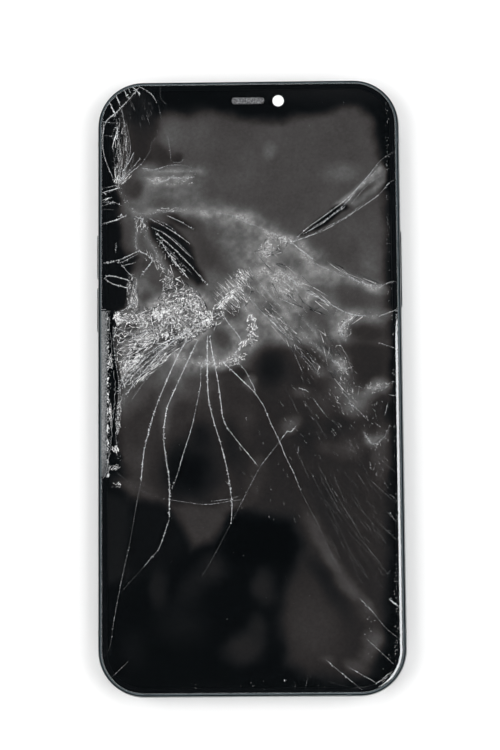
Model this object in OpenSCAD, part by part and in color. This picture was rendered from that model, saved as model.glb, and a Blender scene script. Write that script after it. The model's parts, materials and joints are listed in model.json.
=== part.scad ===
// Touch-screen phone lying on its back, with a shattered front glass.
// +X is right and +Y is towards the earpiece as the screen is seen, +Z comes out of the screen.
// The origin is under the middle of the back. All sizes are in millimetres.

/* [Body] */
// Width across the side band
body_w = 71; // [68:0.5:76]
// Length along the side band
body_l = 143.6; // [138:0.2:156]
// Thickness from back glass to front glass
body_t = 7.8; // [7.6:0.1:8.6]
// Radius of the body's corners, seen from the front
corner_r = 10.8; // [9:0.1:13]
// Wall thickness of the side band
band_wall = 2.4; // [2.2:0.1:2.8]
// Radius of the side band's bulge
bulge_r = 12; // [8:0.5:20]

/* [Front glass] */
// Thickness of the front and back glass
glass_t = 0.8; // [0.6:0.05:0.9]
// How far in from the band's widest line the glass starts
glass_inset = 1.05; // [0.95:0.05:1.3]
// Radius of the soft edge on the glass
edge_r = 1.35; // [1.25:0.05:1.8]
// Length of the earpiece slot
slot_l = 7.7; // [6:0.1:12]
// Width of the earpiece slot
slot_w = 1.5; // [1:0.1:2]
// Distance of the earpiece slot from the top edge
slot_drop = 5; // [4:0.1:5.4]
// Diameter of the milky light window beside the earpiece
window_d = 2.7; // [2:0.1:3.5]
// Distance of the light window from the centre line
window_x = 7.1; // [6:0.1:9]

/* [Damage] */
// Width of the grooves that the main cracks leave
crack_w = 0.12; // [0.08:0.01:0.25]
// Depth of the grooves that the main cracks leave
crack_d = 0.35; // [0.1:0.05:0.5]
// Depth of the crushed patch at the point of impact
crush_d = 0.12; // [0.05:0.01:0.3]

/* [Buttons and tray] */
// How far the buttons stand out of the band
button_proud = 0.1; // [0.1:0.05:0.5]
// How far a button travels in
button_travel = 0.25; // [0.1:0.05:0.3]
// Height of a button's cap across the band
button_h = 2.4; // [2:0.1:3]
// Length of each volume button
volume_l = 10.5; // [8:0.5:13]
// Length of the side button
side_l = 18; // [12:0.5:22]
// Length of the card tray's face
tray_l = 15.4; // [14.5:0.1:16.5]

/* [Inner parts] */
// Width of the battery
battery_w = 37; // [30:0.5:37]
// Length of the battery
battery_l = 88; // [70:1:90]
// Thickness of the battery
battery_t = 3.4; // [2.5:0.1:3.4]
// Outer diameter of the charging coil
coil_d = 44; // [36:1:46]
// Diameter of each rear camera window
camera_d = 8; // [6:0.5:9]

/* [Hidden] */
$fn = 48;

// Small gap between pieces that lie beside each other
gap = 0.05;
// Running clearance round the moving buttons and the tray
run = 0.15;
// Close clearance of a piece that sits in its opening for good
fit = 0.02;
// Overshoot that keeps cutting faces off the faces they cut
over = 1;

// Heights of the layers, from the back up
mid_z = body_t / 2;
band_low = glass_t - 0.05;
band_high = body_t - band_low;
plate_z = glass_t + 0.1;
plate_top = plate_z + 0.6;
over_plate = plate_top + 0.1;
shelf_z = body_t - 2.4;
seal_t = 0.2;
backing_z = shelf_z + 0.05;
backing_t = 0.3;
panel_z = backing_z + backing_t;
glass_z = body_t - glass_t;
frame_lip_z = glass_z + 0.2;

// Outlines, as insets from the band's widest line
lip_inset = 0.72;
frame_inset = 0.75;
frame_wide = 1.55;
panel_inset = frame_inset + frame_wide + gap;
ear_y = body_l / 2 - slot_drop;
edge_centre = 1.1;
edge_run = edge_r + 1;
opening_depth = 5;
inner_x = body_w / 2 - band_wall;
inner_y = body_l / 2 - band_wall;

// Places of the side openings along the body
mute_y = 43;
volume_up_y = 30.5;
volume_down_y = 18;
side_y = 27;
tray_y = -13;
mute_l = 5.6;
mute_h = 1.5;
mute_travel = 1.2;
flange_t = 0.5;
flange_rim = 0.6;
cap_root = 0.4;
flange_gap = 0.1;
dome_d = 2.2;
dome_t = 0.3;
flex_w = 2.6;
flex_t = 0.15;
tray_face_h = 2.4;
tray_t = 1.1;
tray_depth = 18;
tray_half = 6.6;
tray_clear = 0.1;
pocket_half = 5;
pocket_rim = 1.6;
pocket_end = 4.5;
eject_d = 0.9;
eject_y = 5.6;
seal_depth = 2.5;

// Rear cameras and flash
camera_x = 21.5;
camera_upper_y = 58.5;
camera_lower_y = 45.5;
flash_x = 11.5;
flash_y = 52;
flash_d = 3.6;
ring_w = 0.7;
lens_set_in = 0.03;
module_w = 10.4;
module_h = 3.2;
lens_h = 1.1;
led_w = 2;
led_board_w = 4.4;
led_board_t = 0.4;

// Board and battery layout
battery_x = -31.5;
battery_y = -52;
battery_z = plate_top + 0.15;
board_x = 8.5;
board_w = 23.3;
board_low_y = -32;
board_high_y = 37;
board_z = 1.75;
board_t = 0.8;
board_top = board_z + board_t;
board_screw_d = 1.4;
board_screw_x = [board_x + 1.3, board_x + board_w - 1.3];
board_screw_y = [board_low_y + 1.4, board_high_y - 1.4];
board_screw_head_d = 2.2;
board_screw_head_t = 0.5;
battery_corner = 1.6;
tab_w = 8;
tab_start = 5;
plug_low = [9, -23.4];
plug_high = [13, -20.8];
plug_top = 3;
plug_flex_t = 0.12;
shield_wall = 0.2;

// Bottom edge
port_w = 8.9;
port_h = 3.1;
port_z = mid_z - 0.15;
port_wall = 0.3;
port_depth = 7;
port_back_y = -body_l / 2 + 0.35 + port_depth;
hole_d = 1.1;
hole_pitch = 2.4;
hole_start = 10.5;
hole_count = 6;
bottom_screw_x = 7.2;
bottom_screw_seat_d = 1.7;
bottom_screw_head_d = 1.6;
bottom_screw_head_t = 0.8;
bottom_screw_set_in = 0.5;
bottom_screw_drive_d = 0.7;
bottom_screw_shank_d = 1;
bottom_screw_shank_l = 4;
tongue_half = 3.3;
tongue_t = 0.7;
speaker_low_x = 9;
speaker_high_x = 26.5;
speaker_high_y = -54.5;
motor_low = [-28, -65];
motor_high = [-10.5, -54.5];

// Front parts beside the earpiece slot
cut_rim = 2;
mesh_hole_d = 0.26;
mesh_pitch_x = 0.52;
mesh_pitch_y = 0.42;
mesh_t = 0.55;
mesh_skin = 0.3;
front_low = 2.4;
front_high = 1.9;
speaker_neck_z = 5.25;
light_board_z = 4.2;
light_board_t = 0.5;
lamp_d = 1.8;
lamp_h = 0.55;

// Flex of the display, from the panel down to its plug
display_flex_x = 12;
display_flex_w = 14;
display_flex_t = 0.15;
display_flex_high = 14;
display_flex_low = -4.6;
display_plug_top = 3.72;
display_flex_tail = 0.12;

// Charging coil
coil_t = 0.35;
coil_clear = 2.6;
ferrite_t = 0.2;

// Break across the band that keeps its metal runs apart: [angle of the side, distance along it]
break_w = 1.1;
BREAKS = [[0, 57], [0, -57], [180, 57], [180, -57], [90, -22], [270, 22]];

// Where the glass broke out of the left edge, from the top of the break to its foot
CHIP = [
    [-40, 17.7], [-33.4, 17.7], [-32.8, 12.5], [-33.2, 9], [-32.4, 5.5], [-33, 1], [-32.2, -3.5],
    [-33.1, -8], [-32.6, -12.5], [-33.3, -16], [-33, -19.5], [-33.6, -21.5], [-40, -21.5]
];
// Crushed patch round the point of impact
CRUSHED = [
    [-31, 17], [-26, 15.5], [-20, 20], [-14, 22], [-9.5, 18], [-8.5, 14], [-12, 9], [-18, 6.5],
    [-25, 7], [-30.5, 4.5], [-31.5, 10]
];
// Main cracks, each as the points where it turns
CRACKS = [
    [[-17, 6], [-20, 0], [-23.5, -11], [-25.5, -22], [-28.5, -38], [-31, -51]],
    [[-15, 5], [-19, -6], [-20, -12], [-18.8, -22], [-18.8, -31], [-22, -38.5], [-29.5, -47]],
    [[-11.5, 2], [-13, -7], [-17, -21], [-18.2, -24]],
    [[-9.7, 7], [-9.7, -2], [-7, -13.5], [-4.6, -24], [-4.6, -31]],
    [[-8, 7], [-7, -2], [-5.2, -10], [1.3, -18.5]],
    [[-7, 7], [1.2, -2], [5, -9.5], [10, -21], [15, -32], [21.3, -45], [27, -52], [32.5, -58]],
    [[-28.5, 42.5], [-25, 40.2], [-15, 41], [-2, 39], [9.5, 33.3], [15, 28], [27.5, 22.8], [33, 23.6]],
    [[10.5, 34], [14, 36.5], [23, 43.2], [32, 52.5]],
    [[7, 26.5], [18, 19], [25, 15.8], [33, 16.8]]
];

// ---------- shared shapes ----------

// Flat rounded rectangle, centred
module outline(w, l, r) {
    square([w - 2 * r, l], center = true);
    square([w, l - 2 * r], center = true);
    for (x = [-1, 1], y = [-1, 1]) {
        translate([x * (w / 2 - r), y * (l / 2 - r)]) circle(r);
    }
}

// Flat rounded rectangle that follows the body at a given inset
module body_outline(inset) {
    outline(body_w - 2 * inset, body_l - 2 * inset, corner_r - inset);
}

// Rounded slab that follows the body at a given inset
module body_slab(inset, z, t) {
    translate([0, 0, z]) linear_extrude(t) body_outline(inset);
}

// Sweeps a flat section once round the body; x = 0 of the section is the band's widest line
module around_body() {
    for (side = [0 : 3]) {
        across = side % 2 == 0 ? body_w : body_l;
        along = side % 2 == 0 ? body_l : body_w;
        rotate(side * 90) {
            translate([across / 2, 0, 0]) {
                rotate([90, 0, 0]) linear_extrude(along - 2 * corner_r, center = true) children();
            }
            translate([across / 2 - corner_r, along / 2 - corner_r, 0]) {
                rotate_extrude(angle = 90) translate([corner_r, 0]) children();
            }
        }
    }
}

// Block between two opposite corners
module block(low, high) {
    translate(low) cube(high - low);
}

// Flat round-ended slot along X
module pill(l, h) {
    square([l - h, h], center = true);
    for (s = [-1, 1]) translate([s * (l - h) / 2, 0]) circle(h / 2);
}

// Round-ended bar that runs along Y and stands out along X from a given place
module pill_x(x, l, h, depth) {
    translate([x, 0, 0]) rotate([90, 0, 90]) linear_extrude(depth) pill(l, h);
}

// Places its children on the left side, or on the right side, of the band at a height and a length
module on_side(side, y) {
    translate([0, y, mid_z]) mirror([side < 0 ? 1 : 0, 0, 0]) children();
}

// ---------- glass ----------

// Section of a glass edge that faces up, from the slab inwards
module glass_edge() {
    intersection() {
        translate([-glass_inset - edge_run, 0]) square([edge_run, glass_t]);
        union() {
            translate([-glass_inset - edge_centre, glass_t - edge_r]) circle(edge_r);
            translate([-glass_inset - edge_run, 0]) square([edge_run - edge_centre, glass_t]);
        }
    }
}

// Whole glass plate with a soft upper edge, its lower face at z = 0
module glass_plate() {
    body_slab(glass_inset + edge_r + 0.9, 0, glass_t);
    around_body() glass_edge();
}

// Direction across a crack at one of its turns
function across(route, i) =
    let (along = route[i + 1] - route[i - 1]) [-along[1], along[0]] / norm(along);

// One crack as a narrow groove that runs out to a point at both ends
module crack(route) {
    turns = [1 : len(route) - 2];
    back = [len(route) - 2 : -1 : 1];
    translate([0, 0, body_t - crack_d]) linear_extrude(crack_d + over) polygon([
        route[0],
        for (i = turns) route[i] + across(route, i) * crack_w / 2,
        route[len(route) - 1],
        for (i = back) route[i] - across(route, i) * crack_w / 2
    ]);
}

module cover_glass() color([0.05, 0.06, 0.07, 0.6]) difference() {
    translate([0, 0, glass_z]) glass_plate();
    translate([0, ear_y, glass_z - over]) linear_extrude(glass_t + 2 * over) pill(slot_l, slot_w);
    translate([0, 0, glass_z - over]) linear_extrude(glass_t + 2 * over) polygon(CHIP);
    translate([0, 0, body_t - crush_d]) linear_extrude(over) polygon(CRUSHED);
    for (route = CRACKS) crack(route);
}

module back_glass() color("dimgray") difference() {
    translate([0, 0, glass_t]) mirror([0, 0, 1]) glass_plate();
    for (y = [camera_upper_y, camera_lower_y]) {
        translate([camera_x, y, -over]) {
            cylinder(d = camera_d + 2 * ring_w + 2 * fit, h = glass_t + 2 * over);
        }
    }
    translate([flash_x, flash_y, -over]) cylinder(d = flash_d + 2 * fit, h = glass_t + 2 * over);
}

// ---------- band and plate ----------

// Section of the side band
module band_section() {
    difference() {
        intersection() {
            translate([-band_wall, band_low]) square([band_wall, band_high - band_low]);
            translate([-bulge_r, mid_z]) circle(bulge_r, $fn = 96);
        }
        translate([-band_wall - over, shelf_z]) square([band_wall + over - lip_inset, body_t]);
        translate([-band_wall - over, 0]) square([band_wall + over - glass_inset + 0.03, glass_t + fit]);
    }
}

// Bars that cut the band at its breaks
module break_bars() {
    for (b = BREAKS) {
        reach = (b[0] % 180 == 0 ? body_w : body_l) / 2;
        rotate(b[0]) translate([reach - band_wall - over, b[1] - break_w / 2, 0]) {
            cube([band_wall + 2 * over, break_w, body_t]);
        }
    }
}

// Round hole along Y through the bottom wall
module bottom_hole(x, d) {
    translate([x, -body_l / 2 - over, mid_z]) rotate([-90, 0, 0]) cylinder(d = d, h = band_wall + 2 * over);
}

// Round-ended opening through the right side of the band
module side_opening(l, h) {
    pill_x(body_w / 2 - opening_depth, l, h, opening_depth + over);
}

module band_openings() {
    for (y = [volume_up_y, volume_down_y]) {
        on_side(-1, y) side_opening(volume_l + 2 * run, button_h + 2 * run);
    }
    on_side(-1, mute_y) translate([body_w / 2 - opening_depth, 0, 0]) rotate([90, 0, 90]) {
        linear_extrude(opening_depth + over) {
            outline(mute_l + 2 * run, mute_h + mute_travel + 2 * run, mute_h / 2 + run);
        }
    }
    on_side(1, side_y) side_opening(side_l + 2 * run, button_h + 2 * run);
    on_side(1, tray_y) side_opening(tray_l + 2 * tray_clear, tray_face_h + 2 * tray_clear);
    translate([0, -body_l / 2 + band_wall + over, port_z]) {
        rotate([90, 0, 0]) linear_extrude(band_wall + 2 * over) pill(port_w + 2 * gap, port_h + 2 * gap);
    }
    for (i = [0 : hole_count - 1], s = [-1, 1]) bottom_hole(s * (hole_start + i * hole_pitch), hole_d);
    for (s = [-1, 1]) bottom_hole(s * bottom_screw_x, bottom_screw_seat_d);
}

module side_band() color([0.3, 0.34, 0.38]) difference() {
    around_body() band_section();
    break_bars();
    band_openings();
}

module antenna_breaks() color("darkslategray") intersection() {
    around_body() band_section();
    break_bars();
}

module mid_plate() color("lightslategray") difference() {
    body_slab(band_wall, plate_z, plate_top - plate_z);
    translate([0, 0, plate_z - over]) cylinder(d = coil_d + coil_clear, h = 2 * over);
    for (y = [camera_upper_y, camera_lower_y]) {
        translate([camera_x, y, plate_z - over]) {
            cylinder(d = camera_d + 2 * ring_w + 4 * run, h = 2 * over);
        }
    }
    translate([flash_x, flash_y, plate_z - over]) cylinder(d = flash_d + 1, h = 2 * over);
}

// ---------- display ----------

module display_frame() color([0.04, 0.04, 0.045]) {
    difference() {
        body_slab(frame_inset, shelf_z + seal_t, frame_lip_z - shelf_z - seal_t);
        body_slab(glass_inset - fit, glass_z, over);
        body_slab(frame_inset + frame_wide, shelf_z, body_t - shelf_z);
    }
}

// Openings that the front parts behind the slot and the window reach up through
module front_cuts() {
    translate([0, ear_y, shelf_z - over]) linear_extrude(body_t - shelf_z + 2 * over) {
        pill(slot_l + cut_rim, slot_w + 1.2);
    }
    translate([window_x, ear_y, shelf_z - over]) {
        cylinder(d = window_d + 2 * gap, h = body_t - shelf_z + 2 * over);
    }
}

module display_panel() color([0.12, 0.12, 0.12]) difference() {
    body_slab(panel_inset, panel_z, glass_z - panel_z);
    front_cuts();
}

module display_backing() color("gainsboro") difference() {
    body_slab(panel_inset + 2 * gap, backing_z, backing_t);
    front_cuts();
}

module display_seal() color([0.1, 0.1, 0.1]) difference() {
    body_slab(frame_inset + run, shelf_z, seal_t);
    body_slab(panel_inset - run, shelf_z - over, seal_t + 2 * over);
}

module display_flex() color("sienna") {
    under = backing_z - display_flex_t;
    tail_top = display_plug_top + display_flex_tail;
    inner = display_flex_low + display_flex_tail;
    translate([display_flex_x, 0, 0]) rotate([90, 0, 90]) linear_extrude(display_flex_w) {
        polygon([
            [display_flex_high, under], [display_flex_high, backing_z], [display_flex_low, backing_z],
            [display_flex_low, display_plug_top], [0.8, display_plug_top], [0.8, tail_top],
            [inner, tail_top], [inner, under]
        ]);
    }
}

module display_connector() color("black") {
    block([13.5, -1.6, board_top], [24.5, 0.6, display_plug_top]);
}

module earpiece_mesh() color("slategray") translate([0, ear_y, glass_z - 0.1]) {
    difference() {
        linear_extrude(mesh_t) pill(slot_l - 3 * fit, slot_w - 3 * fit);
        for (i = [-6 : 6], j = [-1 : 1]) {
            translate([i * mesh_pitch_x, j * mesh_pitch_y, mesh_skin]) {
                cylinder(d = mesh_hole_d, h = over, $fn = 6);
            }
        }
    }
}

module front_light_diffuser() color("white") translate([window_x, ear_y, panel_z - 0.35]) {
    cylinder(d = window_d, h = glass_z - panel_z + 0.35);
}

module front_light_board() color("seagreen") {
    top = light_board_z + light_board_t;
    block([window_x - 2, ear_y - front_low, light_board_z], [window_x + 2, ear_y + front_high, top]);
    translate([window_x, ear_y, top]) cylinder(d = lamp_d, h = lamp_h);
}

module proximity_sensor() color("black") {
    block([-13, ear_y - front_low, 3.6], [-8.2, ear_y + front_high, 5.2]);
}

module earpiece_speaker() color("darkgray") {
    block([-7.4, ear_y - 3.2, 2.6], [4.6, ear_y + front_high, speaker_neck_z]);
    translate([0, ear_y, speaker_neck_z]) linear_extrude(glass_z - 0.1 - speaker_neck_z) {
        pill(slot_l + 0.4, slot_w + 0.4);
    }
}

// ---------- rear cameras and flash ----------

module camera_window(y) color([0.08, 0.08, 0.12]) {
    translate([camera_x, y, lens_set_in]) cylinder(d = camera_d - fit, h = glass_t - 0.1);
}

module camera_ring(y) color("darkgray") translate([camera_x, y, fit]) difference() {
    cylinder(d = camera_d + 2 * ring_w, h = plate_z + 0.23);
    translate([0, 0, -over]) cylinder(d = camera_d, h = plate_z + 2 * over);
}

module camera_module(y) color([0.2, 0.2, 0.22]) translate([camera_x, y, 0]) {
    translate([0, 0, glass_t]) cylinder(d = camera_d - 0.6, h = lens_h);
    translate([-module_w / 2, -module_w / 2, over_plate]) cube([module_w, module_w, module_h]);
}

module camera_bracket() color("silver") difference() {
    block([15.5, 37.5, 4.85], [28.5, 65.5, 5.1]);
    for (y = [camera_upper_y, camera_lower_y]) {
        translate([camera_x, y, mid_z]) cylinder(d = 6, h = mid_z);
    }
}

module flash_lens() color([1, 0.97, 0.8]) translate([flash_x, flash_y, lens_set_in]) {
    cylinder(d = flash_d, h = glass_t + 0.2);
}

module flash_led() color("gold") translate([flash_x, flash_y, glass_t + 0.25]) {
    block([-led_w / 2, -led_w / 2, 0], [led_w / 2, led_w / 2, 1]);
    block([-led_board_w / 2, -led_board_w / 2, 0.9], [led_board_w / 2, led_board_w / 2, 0.9 + led_board_t]);
}

// ---------- battery and board ----------

module battery() color([0.15, 0.15, 0.16]) {
    translate([battery_x + battery_w / 2, battery_y + battery_l / 2, battery_z]) {
        linear_extrude(battery_t) outline(battery_w, battery_l, battery_corner);
    }
}

module battery_pull_tabs() color("white") {
    for (x = [battery_x + tab_start, battery_x + battery_w - tab_start - tab_w]) {
        block([x, battery_y + 2, plate_top], [x + tab_w, battery_y + battery_l - 2, battery_z]);
    }
}

module battery_connector() color("black") {
    block([plug_low[0], plug_low[1], board_top], [plug_high[0], plug_high[1], plug_top]);
}

module battery_flex() color("peru") {
    flex_top = plug_top + plug_flex_t;
    block([battery_x + battery_w, plug_low[1], plug_top], [plug_high[0], plug_high[1], flex_top]);
}

module main_board() color("darkgreen") difference() {
    block([board_x, board_low_y, board_z], [board_x + board_w, board_high_y, board_top]);
    for (x = board_screw_x, y = board_screw_y) {
        translate([x, y, 0]) cylinder(d = board_screw_d, h = mid_z);
    }
}

// Folded sheet can, open underneath
module shield(x0, y0, x1, y1, h) {
    inside = [shield_wall, shield_wall];
    difference() {
        block([x0, y0, board_top], [x1, y1, board_top + h]);
        block(
            concat([x0, y0] + inside, board_top - over),
            concat([x1, y1] - inside, board_top + h - shield_wall)
        );
    }
}

module processor_shield() color("silver") shield(10.2, 2, 30, 33.6, 2);

module radio_shield() color("silver") shield(13.8, -29, 30, -22.4, 1.6);

module board_screws() color("silver") {
    for (x = board_screw_x, y = board_screw_y) {
        translate([x, y, plate_top]) cylinder(d = board_screw_d - 2 * gap, h = board_top - plate_top);
        translate([x, y, board_top]) cylinder(d = board_screw_head_d, h = board_screw_head_t);
    }
}

// ---------- card tray ----------

module sim_tray() color([0.3, 0.34, 0.38]) difference() {
    union() {
        intersection() {
            on_side(1, tray_y) pill_x(body_w / 2 - 2, tray_l, tray_face_h, 3);
            body_outline_bulge();
        }
        block(
            [body_w / 2 - tray_depth, tray_y - tray_half, mid_z - tray_t / 2],
            [body_w / 2 - 1.9, tray_y + tray_half, mid_z + tray_t / 2]
        );
    }
    block(
        [body_w / 2 - tray_depth + pocket_rim, tray_y - pocket_half, mid_z - 0.25],
        [body_w / 2 - pocket_end, tray_y + pocket_half, mid_z + 2]
    );
    translate([body_w / 2 - 3, tray_y + eject_y, mid_z]) rotate([0, 90, 0]) {
        cylinder(d = eject_d, h = opening_depth);
    }
}

// Solid of the body's bulged outside, cut level with the band
module body_outline_bulge() {
    body_slab(band_wall - 2 * gap, band_low, band_high - band_low);
    around_body() intersection() {
        translate([-band_wall, band_low]) square([band_wall, band_high - band_low]);
        translate([-bulge_r, mid_z]) circle(bulge_r, $fn = 96);
    }
}

module sim_tray_seal() color([0.1, 0.1, 0.1]) on_side(1, tray_y) difference() {
    pill_x(body_w / 2 - seal_depth, tray_l - 0.6, tray_face_h - 0.5, 0.5);
    block([0, -tray_half, -tray_t / 2], [body_w, tray_half, tray_t / 2]);
}

module sim_reader() color("lightgray") difference() {
    block([15.6, tray_y - 7.9, board_top], [body_w / 2 - 3.6, tray_y + 7.9, 5]);
    block([0, tray_y - 6.9, mid_z - 0.85], [body_w, tray_y + 6.9, mid_z + 0.85]);
}

// ---------- bottom edge ----------

module loudspeaker() color("dimgray") difference() {
    block([speaker_low_x, -inner_y + 1.2, over_plate], [speaker_high_x, speaker_high_y, 5.1]);
    block([10.5, -inner_y + 0.2, mid_z - 0.7], [24, -inner_y + 2.6, mid_z + 0.7]);
}

module vibration_motor() color("silver") {
    block(concat(motor_low, over_plate), concat(motor_high, 4.9));
}

module bottom_microphone() color("gold") {
    block([-16.4, -inner_y + 0.1, mid_z - 1.3], [-12.6, -inner_y + 1.3, mid_z + 1.3]);
}

module charging_port() color("silver") {
    translate([0, port_back_y, port_z]) rotate([90, 0, 0]) difference() {
        linear_extrude(port_depth) pill(port_w, port_h);
        translate([0, 0, port_wall]) linear_extrude(port_depth) {
            pill(port_w - 2 * port_wall, port_h - 2 * port_wall);
        }
    }
}

module charging_tongue() color("black") {
    block(
        [-tongue_half, -body_l / 2 + 2, port_z - tongue_t / 2],
        [tongue_half, port_back_y - port_wall, port_z + tongue_t / 2]
    );
}

module charging_flex() color("sienna") {
    y = port_back_y;
    z = port_z - 1;
    block([-4, y, z], [4, y + 0.15, port_z + 1]);
    block([-4, y, z - 0.1], [8.1, y + 2.2, z]);
    block([6.1, y, z - 0.1], [8.1, board_low_y, z]);
    block([6.1, board_low_y, z - 0.1], [8.4, board_low_y + 3, z]);
}

module bottom_screws() color("silver") {
    for (s = [-1, 1]) {
        translate([s * bottom_screw_x, -body_l / 2 + bottom_screw_set_in, mid_z]) rotate([-90, 0, 0]) {
            difference() {
                cylinder(d = bottom_screw_head_d, h = bottom_screw_head_t);
                translate([0, 0, -over]) {
                    cylinder(d = bottom_screw_drive_d, h = bottom_screw_head_t / 2 + over, $fn = 5);
                }
            }
            translate([0, 0, bottom_screw_head_t / 2]) {
                cylinder(d = bottom_screw_shank_d, h = bottom_screw_shank_l - bottom_screw_head_t / 2);
            }
        }
    }
}

// ---------- wireless charging ----------

module wireless_coil() color("chocolate") translate([0, 0, plate_z]) difference() {
    cylinder(d = coil_d, h = coil_t);
    translate([0, 0, -over]) cylinder(d = coil_d / 2, h = coil_t + 2 * over);
}

module ferrite_sheet() color([0.2, 0.2, 0.2]) {
    translate([0, 0, plate_z + coil_t + fit]) cylinder(d = coil_d + 2, h = ferrite_t);
}

// ---------- buttons ----------

// Button cap that stands out of the band, with the flange that keeps it in
module button(l, h) {
    pill_x(inner_x - cap_root, l, h, band_wall + cap_root + button_proud);
    pill_x(inner_x - flange_gap - flange_t, l + 2 * flange_rim, h + flange_rim, flange_t);
}

module volume_up_button() color([0.3, 0.34, 0.38]) on_side(-1, volume_up_y) button(volume_l, button_h);

module volume_down_button() color([0.3, 0.34, 0.38]) on_side(-1, volume_down_y) button(volume_l, button_h);

module side_button() color([0.3, 0.34, 0.38]) on_side(1, side_y) button(side_l, button_h);

module mute_switch() color([0.3, 0.34, 0.38]) on_side(-1, mute_y) translate([0, 0, mute_travel / 2]) {
    stop_l = mute_l + 1;
    pill_x(inner_x - cap_root, mute_l, mute_h, band_wall + cap_root + button_proud - 0.2);
    translate([inner_x - flange_gap - flange_t, -stop_l / 2, -mute_h / 2]) cube([flange_t, stop_l, mute_h]);
}

// Flex strip with one metal dome behind each button
module switch_flex(low, high, domes) {
    face = inner_x - 2 * flange_gap - flange_t - button_travel;
    block([face - dome_t - flex_t, low, -flex_w / 2], [face - dome_t, high, flex_w / 2]);
    for (y = domes) {
        translate([face - dome_t - 0.01, y, 0]) rotate([0, 90, 0]) cylinder(d = dome_d, h = dome_t);
    }
}

module volume_switch_flex() color("peru") on_side(-1, 0) {
    switch_flex(volume_down_y - 6, mute_y - 4.4, [volume_down_y, volume_up_y]);
}

module side_switch_flex() color("peru") on_side(1, 0) switch_flex(side_y - 7, side_y + 7, [side_y]);

// ---------- assembly ----------

cover_glass();
earpiece_mesh();
front_light_diffuser();
front_light_board();
proximity_sensor();
earpiece_speaker();
display_frame();
display_panel();
display_backing();
display_seal();
display_flex();
display_connector();
side_band();
antenna_breaks();
mid_plate();
back_glass();
camera_window(camera_upper_y);  // camera_window_upper
camera_window(camera_lower_y);  // camera_window_lower
camera_ring(camera_upper_y);  // camera_ring_upper
camera_ring(camera_lower_y);  // camera_ring_lower
camera_module(camera_upper_y);  // camera_module_upper
camera_module(camera_lower_y);  // camera_module_lower
camera_bracket();
flash_lens();
flash_led();
battery();
battery_pull_tabs();
battery_flex();
battery_connector();
main_board();
processor_shield();
radio_shield();
board_screws();
sim_reader();
sim_tray();
sim_tray_seal();
loudspeaker();
vibration_motor();
bottom_microphone();
charging_port();
charging_tongue();
charging_flex();
wireless_coil();
ferrite_sheet();
side_button();
volume_up_button();
volume_down_button();
mute_switch();
volume_switch_flex();
side_switch_flex();
bottom_screws();
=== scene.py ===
"""Looks of a touch-screen phone with a shattered front glass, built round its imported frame.

Lengths inside the classes are millimetres in the frame's own axes: +X right, +Y towards the earpiece,
+Z out of the screen. They become metres when a piece is finished.
"""

import json
import logging
import math
import random
from dataclasses import dataclass, field, replace
from enum import Enum

import bmesh
import bpy
import numpy as np
from mathutils import Matrix, Vector
from mathutils.geometry import delaunay_2d_cdt


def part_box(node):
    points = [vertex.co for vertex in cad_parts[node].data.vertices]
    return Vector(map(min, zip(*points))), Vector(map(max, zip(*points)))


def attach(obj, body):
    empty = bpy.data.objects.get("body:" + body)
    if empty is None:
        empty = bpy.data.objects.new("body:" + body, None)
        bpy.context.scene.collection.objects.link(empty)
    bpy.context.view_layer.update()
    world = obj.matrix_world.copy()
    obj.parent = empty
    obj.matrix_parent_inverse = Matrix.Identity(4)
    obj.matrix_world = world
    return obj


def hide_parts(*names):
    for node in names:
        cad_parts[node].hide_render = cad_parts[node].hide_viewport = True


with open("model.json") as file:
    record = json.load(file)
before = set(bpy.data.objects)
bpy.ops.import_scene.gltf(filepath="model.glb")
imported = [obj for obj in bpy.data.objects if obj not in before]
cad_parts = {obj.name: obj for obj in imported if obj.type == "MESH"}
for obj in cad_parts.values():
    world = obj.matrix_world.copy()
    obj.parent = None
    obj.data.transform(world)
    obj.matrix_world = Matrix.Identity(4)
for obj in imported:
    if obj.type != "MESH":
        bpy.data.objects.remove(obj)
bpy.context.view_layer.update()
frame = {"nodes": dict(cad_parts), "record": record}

LOG = logging.getLogger("phone")
MM = 0.001
TINY = 1e-4
FIELD = 256
FIELD_START = 100.0
GLINT = "glint"
BLOOM = "bloom"

Colour = tuple[float, float, float]
Point = tuple[float, float]
Place = tuple[float, float, float]
BMesh = bmesh.types.BMesh
Material = bpy.types.Material
Route = tuple[Point, ...]


def box_mm(node: str) -> tuple[Vector, Vector]:
    """Lowest and highest corner of a CAD node, in millimetres."""
    low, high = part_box(node)
    return low / MM, high / MM


# ---------- shader maths ----------


class Wire:
    """A shader socket that can be used in a Python expression."""

    def __init__(self, shader: "Shader", socket: bpy.types.NodeSocket) -> None:
        """Keeps the socket and the shader that it belongs to."""
        self.shader = shader
        self.socket = socket

    def _sum(self, operation: str, first: "Wire | float", second: "Wire | float") -> "Wire":
        """Adds one Math node.

        Args:
            operation: The Math node's operation.
            first: Left side.
            second: Right side.

        Returns:
            The result's socket.
        """
        return self.shader.add("ShaderNodeMath", {"operation": operation}, {0: first, 1: second})

    def __add__(self, other: "Wire | float") -> "Wire":
        """self + other."""
        return self._sum("ADD", self, other)

    __radd__ = __add__

    def __sub__(self, other: "Wire | float") -> "Wire":
        """self - other."""
        return self._sum("SUBTRACT", self, other)

    def __rsub__(self, other: float) -> "Wire":
        """other - self."""
        return self._sum("SUBTRACT", other, self)

    def __mul__(self, other: "Wire | float") -> "Wire":
        """self * other."""
        return self._sum("MULTIPLY", self, other)

    __rmul__ = __mul__

    def __pow__(self, other: float) -> "Wire":
        """self ** other."""
        return self._sum("POWER", self, other)

    def clamped(self) -> "Wire":
        """The value held between 0 and 1."""
        return self.shader.add("ShaderNodeClamp", {}, {0: self})


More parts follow.
